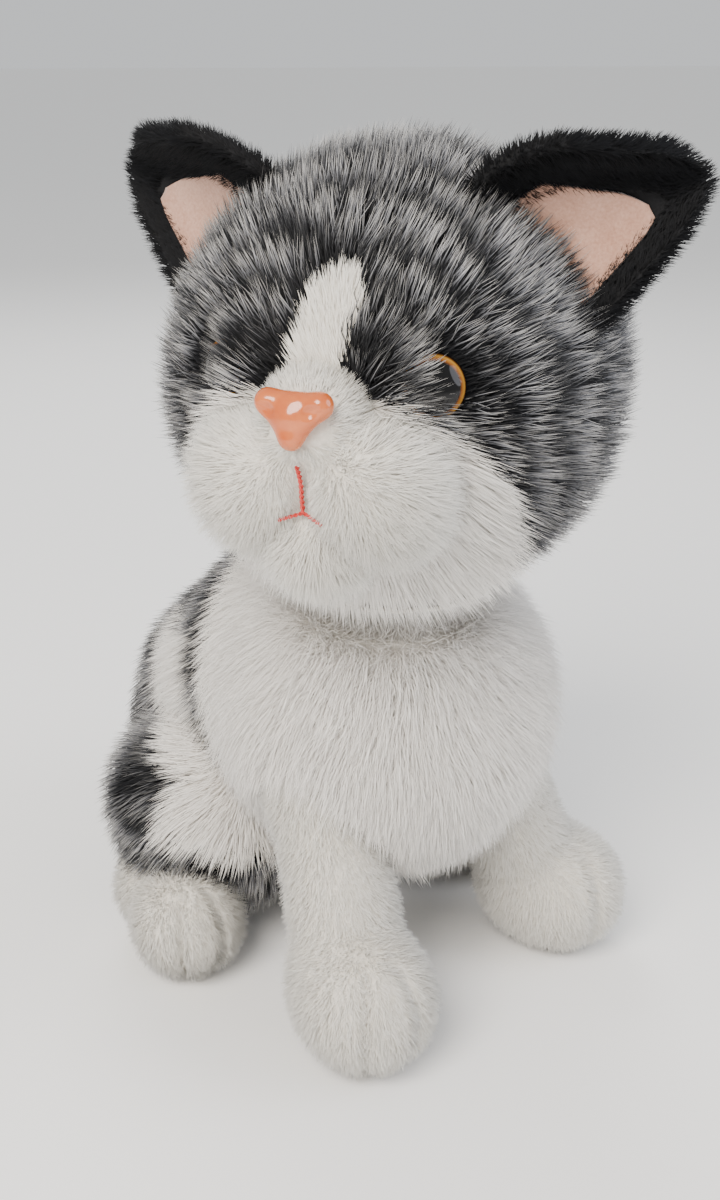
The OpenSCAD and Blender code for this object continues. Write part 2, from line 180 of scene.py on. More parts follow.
def cloth_material(name, colours, grain_mm, bump_mm, **sockets):
    """Cloth whose colour wanders between two hex colours, with a fine grain of a real size."""
    mat, shader = start_material(name, **sockets)
    where = add_node(mat, "ShaderNodeTexCoord")
    spot = where.outputs["Object"]
    wander = add_node(mat, "ShaderNodeTexNoise", {"Vector": spot, "Scale": 1 / (CLOUD_MM * MM), "Detail": 3.0})
    grain = add_node(mat, "ShaderNodeTexNoise", {"Vector": spot, "Scale": 1 / (grain_mm * MM), "Detail": 4.0})
    mixed = add_node(mat, "ShaderNodeMix", {0: 0.45, 2: wander.outputs["Fac"], 3: grain.outputs["Fac"]})
    ramp = add_node(mat, "ShaderNodeValToRGB", {"Fac": mixed.outputs[0]})
    mat.node_tree.links.new(set_stops(ramp, [(0.35, colours[0]), (0.65, colours[1])]), shader.inputs["Base Color"])
    bump = add_node(mat, "ShaderNodeBump",
                    {"Height": grain.outputs["Fac"], "Strength": 0.6, "Distance": bump_mm * MM})
    mat.node_tree.links.new(bump.outputs["Normal"], shader.inputs["Normal"])
    return mat


# Knit backing with the feet of the pile showing: loops are 1 mm, drawn at their real size.
tabby_ground = cloth_material("navy_knit_backing", ("#06070a", "#101217"), 1.2, 0.5,
                              Roughness=0.9, Specular_IOR_Level=0.2)
white_ground = cloth_material("undyed_knit_backing", ("#cdc7bb", "#e4dfd5"), 1.2, 0.5, Roughness=0.85)
black_ground = cloth_material("black_knit_backing", ("#050507", "#0e0f13"), 1.0, 0.4, Roughness=0.9)
# Brushed velour: fibres of 0.02 mm are far too fine to draw, so the nap is drawn as 0.7 mm flecks.
velour = cloth_material("peach_brushed_velour", ("#a67c68", "#c29c89"), 0.7, 0.25,
                        Roughness=0.9, Sheen_Weight=0.5, Specular_IOR_Level=0.2)
base_cloth = cloth_material("black_brushed_base_cloth", ("#1b1c21", "#2b2d33"), 0.8, 0.2, Roughness=0.9)
# Crimped polyester fibre in clumps of 2 to 3 mm.
fibre = cloth_material("crimped_polyester_fibre", ("#dcdad4", "#fbfaf7"), 2.5, 1.2,
                       Roughness=0.8, Sheen_Weight=0.4)
calico = cloth_material("unbleached_calico", ("#c9c1ae", "#ddd6c6"), 0.9, 0.2, Roughness=0.9)
# Polyester thread: bright along the twist.
white_thread = cloth_material("white_polyester_thread", ("#cfc8bd", "#e6e0d6"), 0.4, 0.1, Roughness=0.5)
black_thread = cloth_material("black_polyester_thread", ("#141518", "#26282d"), 0.4, 0.1, Roughness=0.5)
red_thread = cloth_material("red_embroidery_thread", ("#b02a24", "#d3403a"), 0.4, 0.1, Roughness=0.4)
# Natural polypropylene: milky, with a satin moulded skin.
washer_plastic = cloth_material("natural_polypropylene", ("#dedfd9", "#eaebe6"), 3.0, 0.05, Roughness=0.35)
print("cloth and plastic finishes ready")

# %% [markdown]
# ## The cat's proportions
# These are the CAD sizes that the soft pieces are shaped around. The head turns about its own middle,
# so everything on it is shaped in a head frame: x to the cat's left, y out of the back of the head,
# z out of the crown.

# %% Proportions
HEAD_MIDDLE = vec(-2.469, -76.146, 186.767)
HEAD_R, PILE = 61.0, 7.5
IN_HEAD = (Matrix.Translation(Vector(HEAD_MIDDLE)) @ Matrix.Rotation(math.radians(-46), 4, "Z")
           @ Matrix.Rotation(math.radians(-4), 4, "X"))
IN_PLACE = Matrix.Identity(4)
SIDES = {"left": 1, "right": -1}
LOBES = [(vec(13.5, -48.5, -20), 19), (vec(-13.5, -48.5, -20), 19), (vec(0, -51.5, -6), 16), (vec(0, -48.5, -34), 14)]
RUMP, BACK, CHEST = (vec(0, 0, 55), 58), (vec(0, -24, 82), 50), (vec(3, -58, 84), 51)
NECK_R = 64.0
SHOULDERS = {"left": vec(28.10, -73.69, 67.27), "right": vec(-22.99, -72.99, 68.01)}
ANKLES = {"left": vec(50.10, -71.19, 20), "right": vec(-25.99, -100.99, 20)}
TOES = {"left": vec(54.60, -78.98, 20), "right": vec(-25.99, -109.99, 20)}
PAW_TURN = {"left": 30, "right": 0}
HAUNCHES = {"left": vec(37, -2, 42), "right": vec(-37, -20, 42)}
HEELS = {"left": vec(57, -4, 17), "right": vec(-57, -22, 17)}
TAIL_ROOT = vec(0, 42.363, 11.5)


def place(matrix, points):
    """Points moved by a matrix, in millimetres."""
    return points @ np.array(matrix.to_3x3()).T + np.array(matrix.translation)


print("head middle is", HEAD_MIDDLE[2], "mm above the seat")

# %% [markdown]
# ## Stuffed forms
# A stuffed form is a few balls and rods of fibre that the cloth pulls smooth where they meet. A
# distance field says how far a point is from that form; a soft minimum joins the parts. To get a mesh,
# the points of a fine ball are pushed out along rays until the field is zero. That keeps an even net
# of small faces with no holes, which a boolean or a remesh wouldn't promise.

# %% Fields
def ball(p, centre, radius):
    return np.linalg.norm(p - centre, axis=-1) - radius


def rod(p, start, end, radius):
    along = np.clip((p - start) @ (end - start) / ((end - start) @ (end - start)), 0, 1)
    return np.linalg.norm(p - start - along[..., None] * (end - start), axis=-1) - radius


def join(parts, blend):
    """A soft minimum: where two parts meet, the cloth bridges the crease over about blend mm."""
    total = parts[0]
    for part in parts[1:]:
        share = np.clip(0.5 + 0.5 * (part - total) / blend, 0, 1)
        total = part * (1 - share) + total * share - blend * share * (1 - share)
    return total


def ripple(p, size, seed):
    """Smooth unevenness from about -1 to 1 that changes over size mm, the same each run."""
    rng = np.random.default_rng(seed)
    total = 0
    for _ in range(7):
        wave = rng.normal(size=3)
        total = total + np.sin(p @ (unit(wave) * 2 * math.pi / (size * rng.uniform(0.7, 1.5))) + rng.uniform(0, 6.3))
    return total / 3.2


def swirl(p, size, seed):
    """Three ripples, as a direction to wander in."""
    return np.stack([ripple(p, size, seed + i) for i in range(3)], axis=1)


# %% Meshes from fields
def inflate(centre, field, fineness=6, seams=()):
    """Pushes a fine ball out to the field's surface, then cuts its faces along the seam planes."""
    bm = bmesh.new()
    bmesh.ops.create_icosphere(bm, subdivisions=fineness, radius=1)
    rays = unit(np.array([v.co for v in bm.verts]))
    near, far = np.zeros(len(rays)), np.full(len(rays), 140.0)
    for _ in range(20):
        middle = (near + far) / 2
        inside = field(centre + rays * middle[:, None]) < 0
        near, far = np.where(inside, middle, near), np.where(inside, far, middle)
    for vert, point in zip(bm.verts, centre + rays * near[:, None]):
        vert.co = point
    for point, across in seams:
        bmesh.ops.bisect_plane(bm, geom=bm.verts[:] + bm.edges[:] + bm.faces[:], dist=0.02,
                               plane_co=point, plane_no=across)
    bmesh.ops.triangulate(bm, faces=bm.faces[:])
    bm.verts.index_update()
    points = np.array([v.co for v in bm.verts])
    tris = np.array([[v.index for v in f.verts] for f in bm.faces])
    bm.free()
    return points, tris


def normals_of(points, tris):
    corners = points[tris]
    face = np.cross(corners[:, 1] - corners[:, 0], corners[:, 2] - corners[:, 0])
    total = np.zeros_like(points)
    for i in range(3):
        np.add.at(total, tris[:, i], face)
    return unit(total)


def halve(*corners):
    """Cuts four-cornered faces, given as four grids of point numbers, into triangles."""
    quads = np.stack(corners, axis=-1).reshape(-1, 4)
    return np.vstack([quads[:, [0, 1, 2]], quads[:, [0, 2, 3]]])


def cut_out(form, keep):
    """The faces of a form whose middles keep() accepts, with only the points they use."""
    points, tris = form
    tris = tris[keep(points[tris].mean(axis=1))]
    used = np.unique(tris)
    return points[used], np.searchsorted(used, tris)


# %% [markdown]
# ## Making a piece
# Every piece is a mesh object that rides on a CAD body and hides the CAD nodes it stands for. Sewn cloth
# has a thickness, so a panel gets a Solidify modifier that adds it on the inside.

# %% Piece maker
def make_piece(name, points, tris, finish, body, slot, cad=(), matrix=IN_PLACE, thick=0.0, uv=None, normals=None):
    mesh = bpy.data.meshes.new(name)
    mesh.vertices.add(len(points))
    mesh.vertices.foreach_set("co", (place(matrix, points) * MM).astype(np.float32).ravel())
    mesh.loops.add(tris.size)
    mesh.loops.foreach_set("vertex_index", tris.astype(np.int32).ravel())
    mesh.polygons.add(len(tris))
    mesh.polygons.foreach_set("loop_start", np.arange(0, tris.size, 3, dtype=np.int32))
    mesh.update(calc_edges=True)
    mesh.polygons.foreach_set("use_smooth", np.ones(len(tris), bool))
    if uv is not None:
        mesh.uv_layers.new(name=PILE_MAP).data.foreach_set("uv", uv.astype(np.float32).ravel())
    if normals is not None:
        turned = normals @ np.array(matrix.to_3x3()).T
        mesh.normals_split_custom_set_from_vertices(turned)
    mesh.materials.append(finish)
    obj = bpy.data.objects.new(name, mesh)
    bpy.context.scene.collection.objects.link(obj)
    if thick:
        cloth = obj.modifiers.new("cloth thickness", "SOLIDIFY")
        cloth.thickness, cloth.offset = thick * MM, -1
    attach(obj, body)
    if cad:
        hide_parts(*cad)
    return obj


# %% [markdown]
# ## Growing a pile
# A strand is a thin closed spike: a ring of three points at the root, for long pile a second ring
# halfway, and one point at the tip. Roots are scattered evenly over a panel. The strand leans from
# the panel's normal towards the combed direction, bends on in that direction, and is pulled towards
# its neighbours, because pile gathers in tufts. Its shading normal is mostly the panel's own, which
# gives the soft light of a deep pile.

# %% Scatter and strands
def scatter(form, density, rng):
    """Random places on a form, so many to the square millimetre, with the form's normals there."""
    points, tris = form
    corners, corner_normals = points[tris], normals_of(points, tris)[tris]
    area = np.linalg.norm(np.cross(corners[:, 1] - corners[:, 0], corners[:, 2] - corners[:, 0]), axis=1) / 2
    count = int(area.sum() * density)
    pick = rng.choice(len(tris), count, p=area / area.sum())
    share = np.sort(rng.random((count, 2)), axis=1)
    share = np.stack([share[:, 0], share[:, 1] - share[:, 0], 1 - share[:, 1]], axis=1)[..., None]
    return (corners[pick] * share).sum(axis=1), unit((corner_normals[pick] * share).sum(axis=1))


def tuft_up(roots, tips, size, pull, rng):
    """Moves each tip towards the mean tip of its tuft, and says which tuft it is in."""
    count = max(1, len(roots) // size)
    centres = rng.choice(len(roots), count, replace=False)
    tree = kdtree.KDTree(count)
    for i, c in enumerate(centres):
        tree.insert(roots[c], i)
    tree.balance()
    tuft = np.array([tree.find(r)[1] for r in roots])
    lean = np.zeros((count, 3))
    np.add.at(lean, tuft, tips)
    mean_tip = lean / np.maximum(np.bincount(tuft, minlength=count), 1)[:, None]
    return tips + pull * (mean_tip[tuft] - tips), tuft


COLUMNS = 48                # how many shades of fibre the colour map holds side by side
TRIPOD = (0, 2.094, 4.189)  # the three corners of a strand, in radians


def grow(name, roots, normals, flow, finish, body, seed, length, width, lean, shade,
         bend=0.3, wild=0.12, tuft=(12, 0.35), long_pile=True, matrix=IN_PLACE):
    """A piece of many strands. length, lean and shade may be one number or one per root."""
    rng = np.random.default_rng(seed)
    count = len(roots)
    flow = unit(flow - (flow * normals).sum(axis=1, keepdims=True) * normals)
    lean = np.radians(np.broadcast_to(lean, count))[:, None]
    length = (np.broadcast_to(length, count) * rng.uniform(0.75, 1.1, count))[:, None]
    aim = unit(normals * np.cos(lean) + flow * np.sin(lean) + wild * rng.normal(size=(count, 3)))
    middle = roots + aim * length / 2
    tips = middle + unit(aim + bend * flow) * length / 2
    tips, tuft_of = tuft_up(roots, tips, *tuft, rng)
    tone = rng.normal(size=tuft_of.max() + 1)[tuft_of] * 0.09 + rng.normal(size=count) * 0.1
    shade = np.clip(np.broadcast_to(shade, count) + tone, 0, 0.999)
    side = unit(np.cross(aim, rng.normal(size=(count, 3))))
    rings = [side * math.cos(a) + np.cross(aim, side) * math.sin(a) for a in TRIPOD]
    layers = [(roots - 0.4 * normals, 1.0, 0.0)] + ([(middle, 0.8, 0.5)] if long_pile else [])
    points, shading, across, up = [], [], [], []
    for centre, thick, high in layers:
        for ring, aside in zip(rings, (-0.35, 0, 0.35)):
            points.append(centre + ring * width / 2 * thick)
            shading.append(unit(normals + 0.5 * ring))
            across.append(aside)
            up.append(high)
    points.append(tips)
    shading.append(unit(normals + 0.25 * aim))
    across.append(0.0)
    up.append(1.0)
    per = len(points)
    net = [(2, 1, 0)]
    for level in range(len(layers) - 1):
        for i in range(3):
            a, b = 3 * level + i, 3 * level + (i + 1) % 3
            net += [(a, b, b + 3), (a, b + 3, a + 3)]
    net += [(per - 4 + i, per - 4 + (i + 1) % 3, per - 1) for i in range(3)]
    net = np.array(net)
    tris = (net[None] + np.arange(count)[:, None, None] * per).reshape(-1, 3)
    column = (np.floor(shade * COLUMNS) + 0.5) / COLUMNS
    uv = np.stack([column[:, None] + np.array(across) / COLUMNS, np.broadcast_to(up, (count, per))], axis=2)
    uv = uv[:, net]
    uv[:, 0, :, 1] = (0, 0.03, 0)  # the closed foot of a strand keeps a little height in the map
    points = np.stack(points, axis=1).reshape(-1, 3)
    if matrix is IN_PLACE:
        points[:, 2] = np.maximum(points[:, 2], 0.3 + 0.2 * rng.random(len(points)))  # pressed flat by the floor
    make_piece(name, points, tris, finish, body, PILE_SLOTS[finish.name], matrix=matrix,
               uv=uv.reshape(-1, 2), normals=np.stack(shading, axis=1).reshape(-1, 3))
    print(f"{name}: {count} strands, {len(tris)} triangles")


# %% [markdown]
# ## The head
# The head is one ball of fibre in a skin of panels: two tabby sides, a white blaze of sheared pile up
# the forehead, and two white cheeks. The skin lies one pile's depth under the CAD surface, so that the
# tips end there. The muzzle is four lobes that the cloth pulls together.

# %% Head skin
FACE_SEAM = (vec(0, -52, 0), unit(vec(0, 1, 1)))
MUZZLE_MIDDLE = vec(0, -46, -19)
BLAZE_TOP = 28.0


def skull(p):
    return ball(p, vec(0, 0, 0), HEAD_R - PILE) + 0.7 * ripple(p, 34, 3)


def muzzle_field(p, inset=3.0):
    return join([ball(p, c, r - inset) for c, r in LOBES], 3.5)


def in_face(p):
    return p[:, 1] + p[:, 2] < FACE_SEAM[0][1]


def in_blaze(p):
    half = 6.7 * np.sqrt(np.clip((BLAZE_TOP - p[:, 2]) / 6, 0, 1))
    return (abs(p[:, 0] - 0.2 * (p[:, 2] - 11)) < half) & (p[:, 1] < 0)


head_form = inflate(vec(0, 0, 0), skull, 6, [(vec(0, 0, 0), vec(1, 0, 0)), FACE_SEAM])
print("head skin:", len(head_form[1]), "faces")

# %% Head panels
LONG_BACKING, SHORT_BACKING = 1.4, 1.2  # how thick the knit is under long and short pile
panels = {}
for side, s in SIDES.items():
    panels[f"head_side_{side}"] = cut_out(head_form, lambda p: ~in_face(p) & ~in_blaze(p) & (p[:, 0] * s > 0))
    panels[f"cheek_{side}"] = cut_out(head_form, lambda p: in_face(p) & (p[:, 0] * s > 0))
panels["forehead_blaze"] = cut_out(head_form, lambda p: ~in_face(p) & in_blaze(p))
for name, form in panels.items():
    tabby = name.startswith("head")
    slot = "tabby_long_pile" if tabby else "white_short_pile" if name == "forehead_blaze" else "white_long_pile"
    make_piece(f"{name}_cloth", *form, tabby_ground if tabby else white_ground, "head", slot,
               cad=[name], matrix=IN_HEAD, thick=LONG_BACKING)
    print(name, len(form[1]), "faces")

# %% [markdown]
# The muzzle's creases are where its lobes meet: under the nose, and down to the mouth. The rings of
# its skin that lie inside the head are left off.

# %% Muzzle skin
muzzle_form = inflate(MUZZLE_MIDDLE, muzzle_field, 6)
muzzle_skin = cut_out(muzzle_form, lambda p: np.linalg.norm(p, axis=1) > 50)
muzzle = make_piece("muzzle_cloth", *muzzle_skin, white_ground, "head", "white_short_pile", cad=["muzzle"],
                    matrix=IN_HEAD, thick=SHORT_BACKING)

# %% [markdown]
# ## Combing the head
# The pile of a cat's face runs away from the nose on all sides. On a ball that direction is the part
# of the line away from the face's middle that lies along the surface. Beside each eye, on the nose
# side, extra strands fall a little way over the dome's rim, as fur does round a real safety eye.

# %% Head flow
FACE_POLE = unit(vec(0, -1, -0.22))
EYE_SIDE = math.radians(29)
EYE_SEAT, EYE_R = 53.5, 8.0
EYE_AIM = {side: unit(vec(s * math.sin(EYE_SIDE), -math.cos(EYE_SIDE), 0.07)) for side, s in SIDES.items()}


def away_from_face(p, n):
    """The way the pile lies at points p with normals n, with some wandering."""
    return unit(-(FACE_POLE - (n @ FACE_POLE)[:, None] * n)) + 0.18 * swirl(p, 20, 11)


def eye_gap(p):
    """How far a place is from the nearer eye's rim, in millimetres."""
    return np.minimum(*(np.linalg.norm(p - aim * EYE_SEAT, axis=1) for aim in EYE_AIM.values())) - EYE_R


def fringe(p, n):
    """How much a root's strand falls over an eye, from 0 to 1: the most at the rim, on the nose side."""
    seats = np.stack([aim * EYE_SEAT for aim in EYE_AIM.values()])
    nearer = np.argmin(np.linalg.norm(p[:, None] - seats[None], axis=2), axis=1)
    over = (unit(seats[nearer] - p) * unit(away_from_face(p, n))).sum(axis=1)
    return np.exp(-(np.maximum(eye_gap(p), 0) / 4.5) ** 2) * np.clip(0.35 + over, 0, 1)


def clear_roots(form, density, seed, eye_density=0.0):
    """Roots on a head panel, without those under the eyes, the muzzle or the nose."""
    rng = np.random.default_rng(seed)
    roots, normals = scatter(form, density, rng)
    if eye_density:
        more, more_normals = scatter(form, eye_density, rng)
        falls = fringe(more, more_normals) > 0.3
        roots, normals = np.vstack([roots, more[falls]]), np.vstack([normals, more_normals[falls]])
    keep = (eye_gap(roots) > -0.6) & (muzzle_field(roots) > 0.5)
    return roots[keep], normals[keep]


# %% [markdown]
# ## Tabby markings
# Tabby plush is printed in bands across the combing direction, and the frosted tips gather in tufts,
# so the bands break up. On the head the bands are rings about the face, 13 mm apart, bent by a slow
# ripple. The fur beside the blaze and over the eyes is darker.

# %% Head pile
BAND_MM = 13


def head_bands(p):
    """How pale the fibre is at each root of the head: bands, tufts, and a darker brow."""
    ring = HEAD_R * np.arccos(np.clip(unit(p) @ FACE_POLE, -1, 1))
    bands = np.tanh(2.0 * np.sin(2 * math.pi * ring / BAND_MM + 2.4 * ripple(p, 30, 5)))
    brow = np.exp(-((np.abs(p[:, 0]) - 12) / 6) ** 2 - ((p[:, 2] - 14) / 12) ** 2) * (p[:, 1] < 0)
    return 0.46 + 0.37 * bands + 0.2 * ripple(p, 7, 6) - 0.3 * brow


def underfur(name, roots, normals, flow, finish, body, seed, length, shade, matrix=IN_PLACE, width=0.5, wild=0.12):
    """The short dense fibre between the long ones, which hides the backing."""
    grow(name, roots, normals, flow, finish, body, seed, length=length, width=width, lean=40, shade=shade,
         wild=wild, long_pile=False, tuft=(10, 0.2), matrix=matrix)


for side in SIDES:
    panel = panels[f"head_side_{side}"]
    roots, normals = clear_roots(panel, 1.2, 22 + len(side))
    underfur(f"head_side_{side}_underfur", roots, normals, away_from_face(roots, normals), tabby_pile, "head", 32,
             7.5 * np.clip(eye_gap(roots) / 6, 0.5, 1), 0.1, IN_HEAD)
    roots, normals = clear_roots(panel, 1.3, 20 + len(side), 4.0)
    falls = fringe(roots, normals)
    near_eye = np.clip(0.8 + eye_gap(roots) / 30, 0.78, 1) + 0.25 * falls
    grow(f"head_side_{side}_pile", roots, normals, away_from_face(roots, normals), tabby_pile, "head", 31,
         length=13.5 * near_eye, width=0.32, lean=42 + 8 * falls, shade=head_bands(roots), wild=0.22,
         tuft=(12, 0.5), matrix=IN_HEAD)

# %% Cheek and blaze pile
for side in SIDES:
    panel = panels[f"cheek_{side}"]
    roots, normals = clear_roots(panel, 1.3, 42 + len(side))
    underfur(f"cheek_{side}_underfur", roots, normals, away_from_face(roots, normals), white_pile, "head", 44,
             7, 0.4, IN_HEAD)
    roots, normals = clear_roots(panel, 1.9, 40 + len(side), 4.0)
    near_eye = np.clip(0.7 + eye_gap(roots) / 20, 0.65, 1) + 0.35 * fringe(roots, normals)
    under = np.clip((-roots[:, 2] - 30) / 15, 0, 1)
    grow(f"cheek_{side}_pile", roots, normals, away_from_face(roots, normals) + vec(0, 0, -0.35), white_pile, "head",
         41, length=(12.5 + 6 * under) * near_eye, width=0.26, lean=50 - 14 * under, shade=0.65, bend=0.5, wild=0.28,
         tuft=(10, 0.3), matrix=IN_HEAD)
roots, normals = clear_roots(panels["forehead_blaze"], 4.0, 43)
grow("forehead_blaze_pile", roots, normals, away_from_face(roots, normals), velvet_pile, "head", 43, length=6.0,
     width=0.36, lean=34, shade=0.75, long_pile=False, tuft=(14, 0.2), matrix=IN_HEAD)

# %% [markdown]
# On the muzzle the sheared pile grows longer towards the cheeks and under the chin, and stays short
# beside the nose and along the mouth, where the thread pulls it in.

# %% Muzzle pile
MOUTH_TOP, MOUTH_FORK = -13.5, -26.0
roots, normals = scatter(muzzle_skin, 3.6, np.random.default_rng(50))
under_nose = (abs(roots[:, 0]) < 7) & (abs(roots[:, 2] + 4) < 5) & (roots[:, 1] < -60)
keep = (ball(roots, vec(0, 0, 0), HEAD_R - PILE) > 0) & ~under_nose
roots, normals = roots[keep], normals[keep]
aside, above_mouth, below_mouth = abs(roots[:, 0]), roots[:, 2] + 13, -26 - roots[:, 2]
spread = np.clip((aside - 10) / 18, 0, 1) + np.clip(below_mouth / 14, 0, 1)
mouth_gap = np.hypot(np.maximum(aside - 0.5, 0), np.maximum(above_mouth, 0) + np.maximum(below_mouth, 0))
short = np.clip(mouth_gap / 4, 0.35, 1)
BEFORE_NOSE = vec(0, -72, -9)  # the pile spreads from here
grow("muzzle_pile", roots, normals, roots - BEFORE_NOSE, velvet_pile, "head", 51,
     length=(4.2 + 5 * np.minimum(spread, 1.2)) * short, width=0.34, lean=40, shade=0.72, wild=0.3,
     long_pile=False, tuft=(10, 0.25), matrix=IN_HEAD)

# %% [markdown]
# ## Nose
# The nose is one moulding of dyed plastic: a rounded triangle, fuller above, with two dimples for
# nostrils. It is shaped by the same inflating, from three rods and a ball that a soft minimum joins.

# %% Nose
TO_NOSE = IN_HEAD @ Matrix.Translation((0, -51.5, -6)) @ Matrix.Rotation(math.radians(78), 4, "X")


def nose_field(p):
    left, right, low, middle = vec(6.3, 3.2, 15.2), vec(-6.3, 3.2, 15.2), vec(0, -4.4, 15.0), vec(0, 0.4, 15.6)
    pads = join([rod(p, left, right, 2.9), rod(p, left, low, 2.5), rod(p, right, low, 2.5), ball(p, middle, 3.5)],
                2.2)
    nostrils = np.minimum(*(ball(p, vec(s * 5.4, 1.1, 18.6), 1.5) for s in (1, -1)))
    return -join([-pads, nostrils], 1.2)


nose_form = inflate(vec(0, 0.3, 15.2), nose_field, 6)
# Moulded plastic takes its gloss from the polished mould, and its dye lets a little light in.
nose_plastic, shader = start_material(
    "dyed_moulded_plastic", Roughness=0.18, Coat_Weight=0.5, Coat_Roughness=0.05, Subsurface_Weight=0.05,
    Subsurface_Radius=(0.004, 0.002, 0.001),
)
where = add_node(nose_plastic, "ShaderNodeTexCoord")
cloudy = add_node(nose_plastic, "ShaderNodeTexNoise", {"Vector": where.outputs["Object"], "Scale": 1 / (4 * MM)})
ramp = add_node(nose_plastic, "ShaderNodeValToRGB", {"Fac": cloudy.outputs["Fac"]})
nose_plastic.node_tree.links.new(set_stops(ramp, [(0.3, "#bb5822"), (0.7, "#ca6c36")]), shader.inputs["Base Color"])
make_piece("nose_moulding", *nose_form, nose_plastic, "head", "nose_plastic", cad=["nose"], matrix=TO_NOSE)

# %% [markdown]
# ## Eyes
# A safety eye is an acrylic dome on a post. The amber ring and the black pupil are painted under the
# dome and show through it. The profile is turned on a lathe: dome, rim, flat back and post.

# %% Eye material and lathe
def lathe(profile, steps=48):
    """Turns a profile of (radius, height) about z into a closed mesh."""
    angles = np.arange(steps) * 2 * math.pi / steps
    rings = [np.stack([r * np.cos(angles), r * np.sin(angles), np.full(steps, h)], axis=1) for r, h in profile[1:-1]]
    points = np.vstack([vec(0, 0, profile[0][1])[None], *rings, vec(0, 0, profile[-1][1])[None]])
    last, tris = len(points) - 1, []
    for i in range(steps):
        j = (i + 1) % steps
        tris.append((0, 1 + i, 1 + j))
        tris.append((last, last - steps + j, last - steps + i))
        for k in range(len(rings) - 1):
            a, b = 1 + k * steps, 1 + (k + 1) * steps
            tris += [(a + i, b + i, b + j), (a + i, b + j, a + j)]
    return points, np.array(tris)


def eye_material():
    """Amber acrylic with a painted pupil, drawn in rings about the eye's own axis."""
    mat, shader = start_material("painted_acrylic_dome", Roughness=0.07, Specular_IOR_Level=0.35)
    uv = add_node(mat, "ShaderNodeUVMap", uv_map=PILE_MAP)
    out = add_node(mat, "ShaderNodeVectorMath", {0: uv.outputs["UV"], 1: (0.5, 0.5, 0)}, operation="DISTANCE")
    ring = add_node(mat, "ShaderNodeValToRGB", {"Fac": out.outputs["Value"]})
    pupil, rim = [(0, "#040405"), (0.355, "#060505")], [(0.465, "#0b0807")]
    amber = [(0.37, "#4a280e"), (0.395, "#8c5620"), (0.43, "#a87c34"), (0.447, "#5c3816")]
    mat.node_tree.links.new(set_stops(ring, pupil + amber + rim), shader.inputs["Base Color"])
    return mat


acrylic = eye_material()
DOME_H = 4.6
DOME = [(0, DOME_H)] + [(EYE_R * math.sin(a), DOME_H * math.cos(a)) for a in np.linspace(0.12, math.pi / 2, 14)]
RIM_AND_POST = [(EYE_R, -0.6), (EYE_R - 0.6, -1.0), (2.2, -1.0), (2.0, -1.6), (2.0, -9.0), (1.5, -9.4), (0, -9.4)]
DOME += RIM_AND_POST
print("eye profile has", len(DOME), "points")

# %% Eyes
for side, s in SIDES.items():
    to_eye = (IN_HEAD @ Matrix.Rotation(EYE_SIDE * s, 4, "Z") @ Matrix.Rotation(math.radians(86), 4, "X")
              @ Matrix.Translation((0, 0, EYE_SEAT)))
    points, tris = lathe(DOME)
    uv = 0.5 + points[tris].reshape(-1, 3)[:, :2] / (2.08 * EYE_R)
    make_piece(f"eye_{side}_dome", points, tris, acrylic, "head", "eye_plastic", cad=[f"eye_{side}"],
               matrix=to_eye, uv=uv)

# %% Washers keep their CAD shape
for name in ("eye_washer_left", "eye_washer_right", "nose_washer"):
    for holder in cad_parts[name].material_slots:
        holder.material = washer_plastic

# %% [markdown]
# ## Thread
# Embroidery and seam threads are two plies twisted together. Each ply is a round tube that winds about
# the sewn line.

# %% Thread maker
def thread(name, line, radius, finish, body, slot, cad=(), matrix=IN_PLACE, pitch=2.6):
    line = np.asarray(line, float)
    steps = np.r_[0, np.cumsum(np.linalg.norm(np.diff(line, axis=0), axis=1))]
    count = max(8, int(steps[-1] / 0.35))
    spots = np.linspace(0, steps[-1], count)
    path = np.stack([np.interp(spots, steps, line[:, i]) for i in range(3)], axis=1)
    ahead = unit(np.gradient(path, axis=0))
    side = unit(np.cross(ahead, vec(0.3, 0.2, 1)))
    up = np.cross(side, ahead)
    points, tris = [], []
    for ply in (0, math.pi):
        turn = (2 * math.pi * spots / pitch + ply)[:, None]
        middle = path + 0.5 * radius * (side * np.cos(turn) + up * np.sin(turn))
        first = sum(len(p) for p in points)
        for k in range(6):
            a = k * math.pi / 3
            points.append(middle + 0.56 * radius * (side * math.cos(a) + up * math.sin(a)))
        grid = first + np.arange(6)[:, None] * count + np.arange(count)[None]
        beside = np.roll(grid, -1, axis=0)
        tris.append(halve(grid[:, :-1], grid[:, 1:], beside[:, 1:], beside[:, :-1]))
        for e in (0, -1):  # the two cut ends
            cap = np.stack([np.full(4, grid[0, e]), grid[1:5, e], grid[2:6, e]], axis=1)
            tris.append(cap if e else cap[:, ::-1])
    return make_piece(name, np.vstack(points), np.vstack(tris), finish, body, slot, cad=cad, matrix=matrix)


# %% Mouth
def muzzle_front(x, z, lift):
    """The front of the muzzle's skin at x and z, in the head frame, lift mm out."""
    low, high = -75.0, -48.0
    for _ in range(30):
        y = (low + high) / 2
        low, high = (low, y) if muzzle_field(vec(x, y, z)[None])[0] < 0 else (y, high)
    return vec(x, low - lift, z)


stroke = [muzzle_front(0, z, 2.2) for z in np.linspace(MOUTH_TOP - 1, MOUTH_FORK, 9)]
for s in (1, -1):
    arm = [muzzle_front(s * x, MOUTH_FORK - 0.35 * x, 1.9) for x in np.linspace(0, 5.5, 5)]
    thread(f"mouth_{'left' if s > 0 else 'right'}_arm", arm, 0.5, red_thread, "head", "red_thread", matrix=IN_HEAD)
thread("mouth_stroke", stroke, 0.6, red_thread, "head", "red_thread", cad=["mouth_stitch"], matrix=IN_HEAD)

